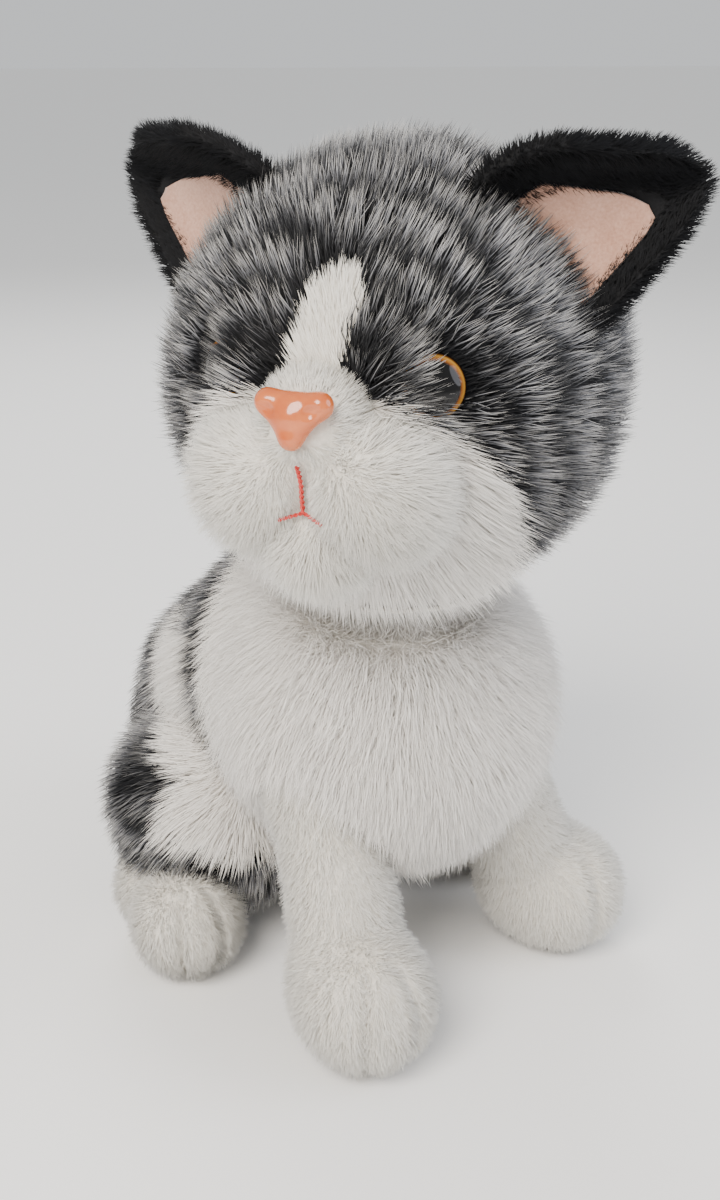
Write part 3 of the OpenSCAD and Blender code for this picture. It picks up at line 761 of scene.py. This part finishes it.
# %% [markdown]
# ## Ears
# An ear is a piece of black sheared pile and a peach lining, sewn face to face and turned out. The
# pair is curled like half a cone and sewn to the head along its base. The black cloth rolls round the
# edge to the front, and the lining lies inside that roll.

# %% Ear shapes
EAR_H, EAR_R, EAR_CUP, EAR_LEAN = 41.0, 30.0, 16.0, 16.0
EAR_SLOPE = math.atan(EAR_CUP / EAR_H)
EAR_L = math.hypot(EAR_CUP, EAR_H)
EAR_SPOT = unit(vec(0.802, -0.243, 0.546)) * (HEAD_R + 1)
IN_EAR = (Matrix.Translation(Vector(EAR_SPOT)) @ Matrix.Rotation(math.radians(16), 4, "Z")
          @ Matrix.Rotation(math.radians(43.5), 4, "Y") @ Matrix.Rotation(math.radians(-3), 4, "X")
          @ Matrix.Rotation(math.radians(EAR_LEAN), 4, "Y") @ Matrix.Translation((0, -EAR_CUP, 0))
          @ Matrix.Rotation(-EAR_SLOPE, 4, "X"))
FOLD = math.radians(36)           # how much further the top edge curls forward
FOLD_BAND, RIM_BAND = 14.0, 5.5   # how wide the black cloth shows there, and along the other edge
SEWN_IN = 8                       # how far an ear goes on below its seam
NARROWEST = 2.5                   # a sheet ends where it gets narrower than this


def ear_sheet(inset, trim, fold_trim, steps=(40, 44)):
    """A curled sheet of the ear, inset mm from its outside, trimmed back from its edge and from its fold.

    Returns its points, triangles, grid of point numbers, and each point's distance from the band's edge."""
    across, high = np.meshgrid(np.linspace(-1, 1, steps[0]), np.linspace(0, 1, steps[1]), indexing="ij")
    folded = across < 0
    up = -SEWN_IN + (EAR_L * 0.86 - trim * 1.3 + SEWN_IN) * high
    radius = EAR_R - 24 * np.clip(up, -SEWN_IN, EAR_L) / EAR_L - inset
    round_tip = np.sqrt(np.clip(1 - np.maximum(high - 0.72, 0) ** 2 / 0.085, 0, 1))
    half = np.where(folded, math.radians(54) + FOLD * np.clip(high * 3, 0, 1), math.radians(47)) * round_tip
    trimmed = np.where(folded, fold_trim, trim) / np.maximum(radius, 7)
    turn = across * np.maximum(half - trimmed, 0.02)
    rows = int(((turn[-1] - turn[0]) * radius[0] > NARROWEST).sum())
    across, high, half, turn, up, radius = (a[:, :rows] for a in (across, high, half, turn, up, radius))
    points = np.stack([radius * np.sin(turn), radius * np.cos(turn), up], axis=-1).reshape(-1, 3)
    grid = np.arange(across.size).reshape(across.shape)
    tris = halve(grid[:-1, :-1], grid[:-1, 1:], grid[1:, 1:], grid[1:, :-1])
    to_side = radius * half * (1 - abs(across)) - np.where(across < 0, FOLD_BAND - RIM_BAND, 0)
    return points, tris, grid, np.minimum(to_side, (1 - high) * EAR_L).ravel()


def ear_shell():
    """The black cloth of an ear, an outer and an inner sheet joined round their edge, and where it has pile."""
    outer, tris, grid, margin = ear_sheet(1.6, 0.0, 0.0)
    inner = ear_sheet(4.4, 0.0, 0.0)[0]
    edge = np.r_[grid[:, 0], grid[-1, 1:], grid[-2::-1, -1], grid[0, -2:0:-1]]
    after, deep = np.roll(edge, -1), len(outer)
    rim = halve(edge, after, after + deep, edge + deep)
    near_edge = margin < RIM_BAND + 4  # the pile runs a little way under the lining's edge
    roll = tris[near_edge[tris].all(axis=1)][:, ::-1] + deep
    return np.vstack([outer, inner]), np.vstack([tris, tris[:, ::-1] + deep, rim]), np.vstack([tris, rim, roll])


def mirrored(form, s):
    """The same form on the cat's right: x changes sign, and so does the order of each face."""
    points, tris = form
    return form if s > 0 else (points * vec(-1, 1, 1), tris[:, ::-1])


# %% Ears
shell, shell_tris, pile_tris = ear_shell()
for side, s in SIDES.items():
    body = f"ear_{side}"
    back = mirrored((place(IN_EAR, shell), shell_tris), s)
    make_piece(f"ear_back_{side}_cloth", *back, black_ground, body, "black_pile", cad=[f"ear_back_{side}"],
               matrix=IN_HEAD)
    furred = mirrored((place(IN_EAR, shell), pile_tris), s)
    roots, normals = scatter(furred, 4.0, np.random.default_rng(60 + s))
    tip_flow = np.array(IN_EAR.to_3x3()) @ vec(0, -0.35, 1) * vec(s, 1, 1)
    grow(f"ear_back_{side}_pile", roots, normals, tip_flow + 0 * roots, black_pile, body,
         61, length=4.6, width=0.4, lean=30, shade=0.4, wild=0.22, long_pile=False, tuft=(12, 0.25), matrix=IN_HEAD)
    points, tris, _, _ = ear_sheet(5.2, RIM_BAND, FOLD_BAND)
    make_piece(f"ear_lining_{side}_cloth", *mirrored((place(IN_EAR, points), tris), s), velour, body, "peach_velour",
               cad=[f"ear_lining_{side}"], matrix=IN_HEAD, thick=1.2)

# %% [markdown]
# ## The torso
# The torso is a pear of fibre: a wide rump, a back, and a chest that stands forward. The head sits in
# a hollow at its top. A white bib covers the chest, tabby panels the back, and each flank has a white
# wedge. The floor flattens the base.

# %% Torso skin
BIB_EDGE = (vec(0, -36, 87), unit(vec(0, -math.cos(math.radians(30)), math.sin(math.radians(30)))))
FLANK = np.array([[14, 94], [-20, 99], [-58, 44], [-48, 40], [-40, 60], [-10, 73]], float)
BASE_H = 5.0
TORSO_MIDDLE = vec(0, -28, 68)


def torso_field(p, inset=7.0):
    pear = join([ball(p, c, r - inset) for c, r in (RUMP, BACK, CHEST)], 12)
    pear = pear + 0.8 * ripple(p, 45, 8)
    return np.maximum(np.maximum(pear, 1.2 - p[..., 2]), NECK_R + 1 - np.linalg.norm(p - HEAD_MIDDLE, axis=-1))


def in_bib(p):
    return (p - BIB_EDGE[0]) @ BIB_EDGE[1] > 0


def in_belly(p):
    return (abs(p[:, 0]) < 28) & (p[:, 1] < -15) & (p[:, 2] < 45) & (p[:, 2] > BASE_H)


def in_flank(p):
    """Inside the white wedge, seen from the side. The left one is set back with the left haunch."""
    y, z = p[:, 1] - np.where(p[:, 0] > 0, 9, 0), p[:, 2]
    hits = np.zeros(len(p), bool)
    for (y0, z0), (y1, z1) in zip(FLANK, np.roll(FLANK, -1, axis=0)):
        crosses = (z0 > z) != (z1 > z)
        hits ^= crosses & (y < (y1 - y0) * (z - z0) / (z1 - z0 + 1e-9) + y0)
    return hits & (abs(p[:, 0]) > 30)


torso_form = inflate(TORSO_MIDDLE, torso_field, 6,
                     [(vec(0, 0, 0), vec(1, 0, 0)), BIB_EDGE, (vec(0, 0, BASE_H), vec(0, 0, 1))])
print("torso skin:", len(torso_form[1]), "faces")

# %% Torso panels
def legs_gap(p, spare=0.0):
    """How far a point is from the front legs."""
    parts = [rod(p, SHOULDERS[side], ANKLES[side], 17.5 + spare) for side in SIDES]
    parts += [ball(p, SHOULDERS[side], 19 + spare) for side in SIDES]
    return np.min(parts, axis=0)


def in_legs(p, spare=0.0):
    return legs_gap(p, spare) < 0


torso_zones = {
    "base_panel": lambda p: p[:, 2] < BASE_H,
    "bib": lambda p: in_bib(p) & ~in_belly(p) & (p[:, 2] >= BASE_H),
    "belly_panel": lambda p: in_belly(p),
}
for side, s in SIDES.items():
    mine = lambda p, s=s: (p[:, 0] * s > 0) & (p[:, 2] >= BASE_H) & ~in_bib(p) & ~in_belly(p)
    torso_zones[f"flank_patch_{side}"] = lambda p, mine=mine: mine(p) & in_flank(p)
    torso_zones[f"back_panel_{side}"] = lambda p, mine=mine: mine(p) & ~in_flank(p)
GROUND = {"base": (base_cloth, "base_cloth"), "back": (tabby_ground, "tabby_long_pile")}
for name, zone in torso_zones.items():
    panels[name] = cut_out(torso_form, lambda p: zone(p) & ~in_legs(p))
    finish, slot = GROUND.get(name.split("_")[0], (white_ground, "white_long_pile"))
    make_piece(f"{name}_cloth", *panels[name], finish, "torso", slot, cad=[name], thick=LONG_BACKING)
    print(name, len(panels[name][1]), "faces")

# %% [markdown]
# ## Combing the body
# Fur on the back runs down and back, and on the chest it hangs down and spreads to the sides. The neck
# hollow gets no pile. The pile at its edge stands up towards the head and meets the head's own fur.

# %% Body pile
def down_the_back(p):
    return vec(0, 0.5, -1) + 0.006 * p * vec(1, 0, 0) + 0.2 * swirl(p, 26, 14)


def down_the_chest(p):
    return vec(0, -0.25, -1) + 0.015 * p * vec(1, 0, 0) + 0.22 * swirl(p, 24, 17)


def body_bands(p):
    """How pale the fibre is at each root of the back: bands 17 mm apart across the combing, and tufts."""
    bands = np.tanh(1.6 * np.sin(2 * math.pi * (p[:, 2] * 0.8 - p[:, 1] * 0.5) / 17 + 2.4 * ripple(p, 34, 9)))
    return 0.42 + 0.36 * bands + 0.18 * ripple(p, 8, 10)


def body_roots(form, density, seed):
    """Roots on a torso panel, outside the neck hollow, the legs and the haunches."""
    roots, normals = scatter(form, density, np.random.default_rng(seed))
    keep = (np.linalg.norm(roots - HEAD_MIDDLE, axis=1) > NECK_R + 1.3) & ~in_legs(roots, -2)
    for side in SIDES:
        keep &= ball(roots, HAUNCHES[side], 27) > 0
    return roots[keep], normals[keep]


def towards_head(p, flow):
    """Near the neck hollow the pile stands up towards the head. Returns the flow, and how near it is (0 to 1)."""
    near = np.exp(-(np.maximum(np.linalg.norm(p - HEAD_MIDDLE, axis=1) - NECK_R - 1, 0) / 10) ** 2)
    return unit(flow) * (1 - near)[:, None] + unit(HEAD_MIDDLE + vec(0, 0, 30) - p) * near[:, None], near


def torso_pile(name, density, seed, flow_of, finish, length, shade, half="", s=0):
    """The pile of a torso panel, or of the half of it on side s of the chest's middle."""
    roots, normals = body_roots(panels[name], density, seed)
    keep = (roots[:, 0] - CHEST[0][0]) * s >= 0
    roots, normals, name = roots[keep], normals[keep], name + half
    flow, near = towards_head(roots, flow_of(roots))
    low = np.clip((roots[:, 2] - 2) / 12, 0.4, 1)
    if finish is tabby_pile:
        width, wild, tuft = 0.34, 0.22, (12, 0.4)
        below, above = slice(0, None, 2), slice(None)
        underfur(f"{name}_underfur", roots[below], normals[below], flow[below], finish, "torso", seed + 1,
                 7.5 * low[below], 0.15)
    else:  # white pile is fluff all through: two thirds short and wild, a third long
        width, wild, tuft = 0.25, 0.3, (9, 0.28)
        below, above = np.arange(len(roots)) % 3 > 0, slice(0, None, 3)
        underfur(f"{name}_fluff", roots[below], normals[below], flow[below], finish, "torso", seed + 1,
                 (0.8 * length + 2 * near[below]) * low[below], 0.6, width=0.27, wild=0.5)
    roots, normals, flow, near, low = (a[above] for a in (roots, normals, flow, near, low))
    grow(f"{name}_pile", roots, normals, flow, finish, "torso", seed + 2, length=(length + 2 * near) * low,
         width=width, lean=50 - 20 * near, shade=shade(roots), bend=0.4, wild=wild, tuft=tuft)


for side in SIDES:
    torso_pile(f"back_panel_{side}", 1.3, 70, down_the_back, tabby_pile, 13, body_bands)
    torso_pile(f"flank_patch_{side}", 4.0, 73, down_the_back, white_pile, 13, lambda p: 0.6)
for side, s in SIDES.items():
    torso_pile("bib", 5.0, 76, down_the_chest, white_pile, 14, lambda p: 0.65, f"_{side}", s)
torso_pile("belly_panel", 2.4, 79, down_the_chest, white_pile, 8, lambda p: 0.5)

# %% [markdown]
# ## Haunches and hind feet
# Each haunch is a padded disc of tabby pile on the side of the rump, white at the front of the thigh.
# The hind foot is a stuffed slipper of sheared pile, with its toes drawn in by thread.

# %% Haunches
def haunch_field(centre, inset):
    return lambda p: ball(p, centre, 37 - inset) + 0.6 * ripple(p, 26, 21)


for side, s in SIDES.items():
    middle = HAUNCHES[side]
    form = inflate(middle, haunch_field(middle, 7.5), 6)
    outside = lambda p: (torso_field(p) > -1.5) & (p[:, 2] > 1) & (ball(p, HEELS[side] - vec(0, 12, 0), 17) >= 0)
    white = lambda p: in_flank(p) | ((p[:, 1] < middle[1] - 18) & (p[:, 2] > middle[2] + 3))
    haunch = cut_out(form, lambda p: outside(p) & ~white(p))
    thigh = cut_out(form, lambda p: outside(p) & white(p))
    make_piece(f"haunch_{side}_cloth", *haunch, tabby_ground, "torso", "tabby_long_pile", cad=[f"haunch_{side}"],
               thick=LONG_BACKING)
    make_piece(f"thigh_{side}_cloth", *thigh, white_ground, "torso", "white_long_pile", thick=LONG_BACKING)
    for name, part, finish, density, width, shade in (
            ("haunch", haunch, tabby_pile, 1.5, 0.38, body_bands),
            ("thigh", thigh, white_pile, 2.6, 0.27, lambda p: 0.6)):
        roots, normals = scatter(part, density, np.random.default_rng(80 + s))
        low = np.clip((roots[:, 2] - 2) / 12, 0.4, 1)
        grow(f"{name}_{side}_pile", roots, normals, down_the_back(roots), finish, "torso", 81, length=12.5 * low,
             width=width, lean=46, shade=shade(roots), wild=0.22)

# %% [markdown]
# A paw's toes are made after stuffing: thread is pulled tight over the front, and the pile dips in a
# groove on each side of it. The groove is part of the form, so it shows from every side.

# %% Paws
TOE_ANGLES = (-26, 26)


def toe_groove(p, centre, turn, radius):
    """How deep the toe threads pull the skin in at each point, in millimetres."""
    depth = np.zeros(p.shape[:-1])
    for a in TOE_ANGLES:
        angle = math.radians(turn + a)
        ahead = vec(math.sin(angle), -math.cos(angle), 0)
        across = vec(math.cos(angle), math.sin(angle), 0)
        off = (p - centre) @ across
        front = np.clip(((p - centre) @ ahead) / radius * 1.6 - 0.35, 0, 1)
        depth = np.maximum(depth, 2.6 * front * np.exp(-(off / 1.5) ** 2))
    return depth


def leg_field(side, inset):
    shoulder, ankle, toe = SHOULDERS[side], ANKLES[side], TOES[side]

    def field(p):
        parts = [ball(p, shoulder, 19 - inset), rod(p, shoulder, ankle, 17 - inset),
                 ball(p, ankle, 20 - inset), ball(p, toe, 20.5 - inset)]
        return np.maximum(join(parts, 5) + toe_groove(p, toe, PAW_TURN[side], 20), 0.8 - p[..., 2])

    return field


def foot_field(side, inset):
    heel, toe = HEELS[side], HEELS[side] - vec(0, 24, 0)

    def field(p):
        parts = [ball(p, heel, 16 - inset), rod(p, heel, toe, 15.5 - inset), ball(p, toe, 18 - inset)]
        return np.maximum(join(parts, 5) + toe_groove(p, toe, 0, 18), 0.8 - p[..., 2])

    return field


# %% Leg and foot skins with pile
def velvet_limb(name, form, along, seed):
    """The skin and sheared pile of a limb, which has the same name as its body and its CAD node."""
    skin = make_piece(f"{name}_cloth", *form, white_ground, name, "white_short_pile", cad=[name],
                      thick=SHORT_BACKING)
    roots, normals = scatter(form, 2.6, np.random.default_rng(seed))
    keep = roots[:, 2] > 1.6
    roots, normals = roots[keep], normals[keep]
    grow(f"{name}_pile", roots, normals, along + 0 * roots, velvet_pile, name,
         seed + 1, length=4.6, width=0.38, lean=34, shade=0.7, wild=0.3, long_pile=False, tuft=(10, 0.25))


for side in SIDES:
    middle = (SHOULDERS[side] + ANKLES[side] * 2) / 3
    leg = inflate(middle, leg_field(side, 3.0), 6)
    velvet_limb(f"front_leg_{side}", leg, unit(TOES[side] - SHOULDERS[side]), 90)
    foot = inflate(HEELS[side] - vec(0, 12, 0), foot_field(side, 3.0), 6)
    velvet_limb(f"hind_foot_{side}", foot, vec(0, -1, -0.4), 94)

# %% Toe threads
def toe_lines(centre, turn, radius):
    for a in TOE_ANGLES:
        angle = math.radians(turn + a)
        ahead = vec(math.sin(angle), -math.cos(angle), 0)
        rise = np.radians(np.linspace(-20, 50, 12))[:, None]
        yield centre + radius * (ahead * np.cos(rise) + vec(0, 0, 1) * np.sin(rise))


for side in SIDES:
    for part, node, centre, turn, radius in (("front_leg", "paw", TOES[side], PAW_TURN[side], 15.2),
                                             ("hind_foot", "foot", HEELS[side] - vec(0, 24, 0), 0, 12.8)):
        for i, line in enumerate(toe_lines(centre, turn, radius)):
            thread(f"{node}_stitch_{side}_{i}", line, 0.6, white_thread, f"{part}_{side}", "stitch_thread",
                   cad=[f"{node}_stitches_{side}"] if i == 0 else ())

# %% [markdown]
# ## Tail
# The tail is a turned-out tube of tabby cloth, lightly stuffed, that lies on the floor and curls to
# the cat's left. Its skin follows a bent line, so it is built as rings along that line.

# %% Tail
CURL_R, CURL_SWEEP = 46.0, math.radians(130)


def tail_tube(inset, rings=90, around=36):
    """A closed tube along the tail's curl, round at both ends, with its middle line and the way that runs."""
    ends = 11.0 - inset
    reach = CURL_R * CURL_SWEEP
    spots = np.linspace(-ends * 0.995, reach + ends * 0.995, rings)
    past = np.maximum(np.maximum(-spots, spots - reach), 0)
    radius = (ends - 0.8) * np.sqrt(np.clip(1 - (past / ends) ** 2, 0, 1))
    turn = np.clip(spots, 0, reach) / CURL_R
    middle = TAIL_ROOT + CURL_R * np.stack([1 - np.cos(turn), np.sin(turn), 0 * turn], axis=1)
    ahead = np.stack([np.sin(turn), np.cos(turn), 0 * turn], axis=1)
    middle = middle + ahead * (spots - np.clip(spots, 0, reach))[:, None]
    side = np.stack([np.cos(turn), -np.sin(turn), 0 * turn], axis=1)
    angle = np.linspace(0, 2 * math.pi, around, endpoint=False)
    out = side[:, None] * np.cos(angle)[:, None] + vec(0, 0, 1) * np.sin(angle)[:, None]
    points = middle[:, None] + radius[:, None, None] * out
    grid = np.arange(rings * around).reshape(rings, around)
    beside = np.roll(grid, -1, axis=1)
    return points.reshape(-1, 3), halve(grid[:-1], grid[1:], beside[1:], beside[:-1]), middle, ahead


points, tris, tail_line, tail_ahead = tail_tube(4.5)
tail_skin = make_piece("tail_cloth", points, tris, tabby_ground, "tail", "tabby_long_pile", cad=["tail"],
                       thick=SHORT_BACKING)
roots, normals = scatter((points, tris), 1.5, np.random.default_rng(100))
nearest = np.array([np.argmin(((tail_line - r) ** 2).sum(axis=1)) for r in roots])
reach = np.clip((roots[:, 2] - 1) / 8, 0.3, 1)
rings = 0.4 + 0.35 * np.sin(nearest / len(tail_line) * 2 * math.pi * 7 + ripple(roots, 20, 22))
grow("tail_pile", roots, normals, tail_ahead[nearest], tabby_pile, "tail", 101,
     length=8.5 * reach, width=0.42, lean=48, shade=rings)

# %% [markdown]
# ## Neck and the last seam
# A round of cloth closes the head's neck opening under the fur. The torso is closed by hand along the
# spine with a ladder stitch in dark thread.

# %% Neck round and closing seam
across, turn = np.meshgrid(np.linspace(0, 1, 16), np.linspace(0, 2 * math.pi, 65)[:-1], indexing="ij")
radius = 25.5 * across
drop = np.sqrt(62.4 ** 2 - radius ** 2) + 0.35 * across * np.cos(16 * turn)
points = HEAD_MIDDLE + np.stack([radius * np.cos(turn), radius * np.sin(turn), -drop], axis=-1).reshape(-1, 3)
grid = np.arange(across.size).reshape(across.shape)
beside = np.roll(grid, -1, axis=1)
make_piece("neck_round_cloth", points, halve(grid[:-1], grid[1:], beside[1:], beside[:-1]), white_ground, "neck",
           "white_long_pile", cad=["neck_gusset"], thick=1.0)
rise = np.radians(np.linspace(-4, 34, 60))
ladder = 1.3 * np.sign(np.sin(np.linspace(0, 40, 60)))
seam_line = np.stack([ladder, 51.6 * np.cos(rise), RUMP[0][2] + 51.6 * np.sin(rise)], axis=1)
thread("closing_seam_thread", seam_line, 0.5, black_thread, "torso", "seam_thread", cad=["closing_seam"])

# %% [markdown]
# ## What fills the cat
# Inside are clumps of crimped fibre, and in the seat a calico bag of plastic pellets that keeps the cat
# upright. They never show, but they are pieces of their own, so each is a lumpy form under its skin.

# %% Filling
def lumpy(field, seed, size=11, height=0.8):
    """A field with clumps of fibre size mm across, and finer ones on them."""
    return lambda p: field(p) + height * ripple(p, size, seed) + 0.4 * height * ripple(p, size / 3, seed + 1)


def fill(name, centre, field, body, matrix=IN_PLACE):
    obj = make_piece(f"{name}_fibre", *inflate(centre, field, 5), fibre, body, "fibre_filling", cad=[name],
                     matrix=matrix)
    return obj


fill("head_stuffing", vec(0, 0, 0), lumpy(lambda p: ball(p, vec(0, 0, 0), 50.5), 111), "head", IN_HEAD)
fill("muzzle_stuffing", MUZZLE_MIDDLE, lumpy(lambda p: muzzle_field(p, 5.5), 113, 7, 0.4), "head", IN_HEAD)
fill("torso_stuffing", vec(0, -22, 72), lumpy(lambda p: np.maximum(torso_field(p, 10.5), -legs_gap(p, 1.0)), 115),
     "torso")
points, tris, line, _ = tail_tube(6.5)
outward = unit(points - np.repeat(line, len(points) // len(line), axis=0))
tail_fibre = make_piece("tail_stuffing_fibre", points + 0.3 * ripple(points, 6, 117)[:, None] * outward, tris, fibre,
                        "tail", "fibre_filling", cad=["tail_stuffing"])
for side in SIDES:
    outer = HAUNCHES[side] + vec(20 * SIDES[side], 0, -5)
    haunch_pad = lambda p: np.maximum(ball(p, HAUNCHES[side], 27), 2 - torso_field(p))
    fill(f"haunch_stuffing_{side}", outer, lumpy(haunch_pad, 119), "torso")
    fill(f"leg_stuffing_{side}", (SHOULDERS[side] + ANKLES[side] * 2) / 3, lumpy(leg_field(side, 6.0), 121, 8, 0.5),
         f"front_leg_{side}")
    fill(f"foot_stuffing_{side}", HEELS[side] - vec(0, 12, 0), lumpy(foot_field(side, 6.0), 123, 8, 0.5),
         f"hind_foot_{side}")
bag_field = lumpy(lambda p: ball(p * vec(1, 1, 1.12), vec(0, 0, 31), 19.5), 125, 5, 0.35)
bag = make_piece("pellet_bag_cloth", *inflate(vec(0, 0, 27.5), bag_field, 5), calico, "torso", "pellet_bag_cloth",
                 cad=["pellet_bag"])

# %% [markdown]
# ## Floor, light and camera
# A pale floor that fades into a pale room, one large soft light from the cat's right, a weaker one from
# its left, and an even sky fill the shadows between the strands.

# %% Floor
floor_mesh = bpy.data.meshes.new("floor")
floor_mesh.from_pydata([(-30, -30, 0), (30, -30, 0), (30, 30, 0), (-30, 30, 0)], [], [(0, 1, 2, 3)])
floor = bpy.data.objects.new("floor", floor_mesh)
bpy.context.scene.collection.objects.link(floor)
floor_paint, shader = start_material("matt_pale_floor", Base_Color=linear("#f9f8f6"), Roughness=0.8)
floor_mesh.materials.append(floor_paint)

# %% Light
def soft_light(name, spot, aim, size, watts, colour):
    data = bpy.data.lights.new(name, "AREA")
    data.shape, data.size, data.energy, data.color = "DISK", size, watts, linear(colour)[:3]
    lamp = bpy.data.objects.new(name, data)
    lamp.location = spot
    lamp.rotation_euler = (Vector(aim) - Vector(spot)).to_track_quat("-Z", "Y").to_euler()
    bpy.context.scene.collection.objects.link(lamp)


soft_light("window", (-0.75, -0.75, 0.95), (0, -0.05, 0.12), 0.8, 27, "#fff8f0")
soft_light("room", (0.9, -0.7, 0.6), (0, -0.05, 0.1), 0.9, 7.5, "#f4f6ff")
soft_light("behind", (0.2, 0.9, 0.9), (0, 0, 0.15), 0.6, 6, "#ffffff")
world = bpy.data.worlds.new("pale room")
bpy.context.scene.world = world
world.use_nodes = True
world.node_tree.nodes["Background"].inputs["Color"].default_value = linear("#e2e4e6")
world.node_tree.nodes["Background"].inputs["Strength"].default_value = 0.95

# %% Camera
view = bpy.data.cameras.new("view")
view.lens, view.sensor_width = 45, 36
camera = bpy.data.objects.new("camera", view)
AIM, DISTANCE, AROUND, ABOVE = Vector((-0.006, -0.060, 0.118)), 0.430, math.radians(-24), math.radians(20)
back_to_camera = Vector((math.sin(AROUND) * math.cos(ABOVE), -math.cos(AROUND) * math.cos(ABOVE), math.sin(ABOVE)))
camera.location = AIM + DISTANCE * back_to_camera
camera.rotation_euler = (AIM - camera.location).to_track_quat("-Z", "Y").to_euler()
bpy.context.scene.collection.objects.link(camera)
bpy.context.scene.camera = camera
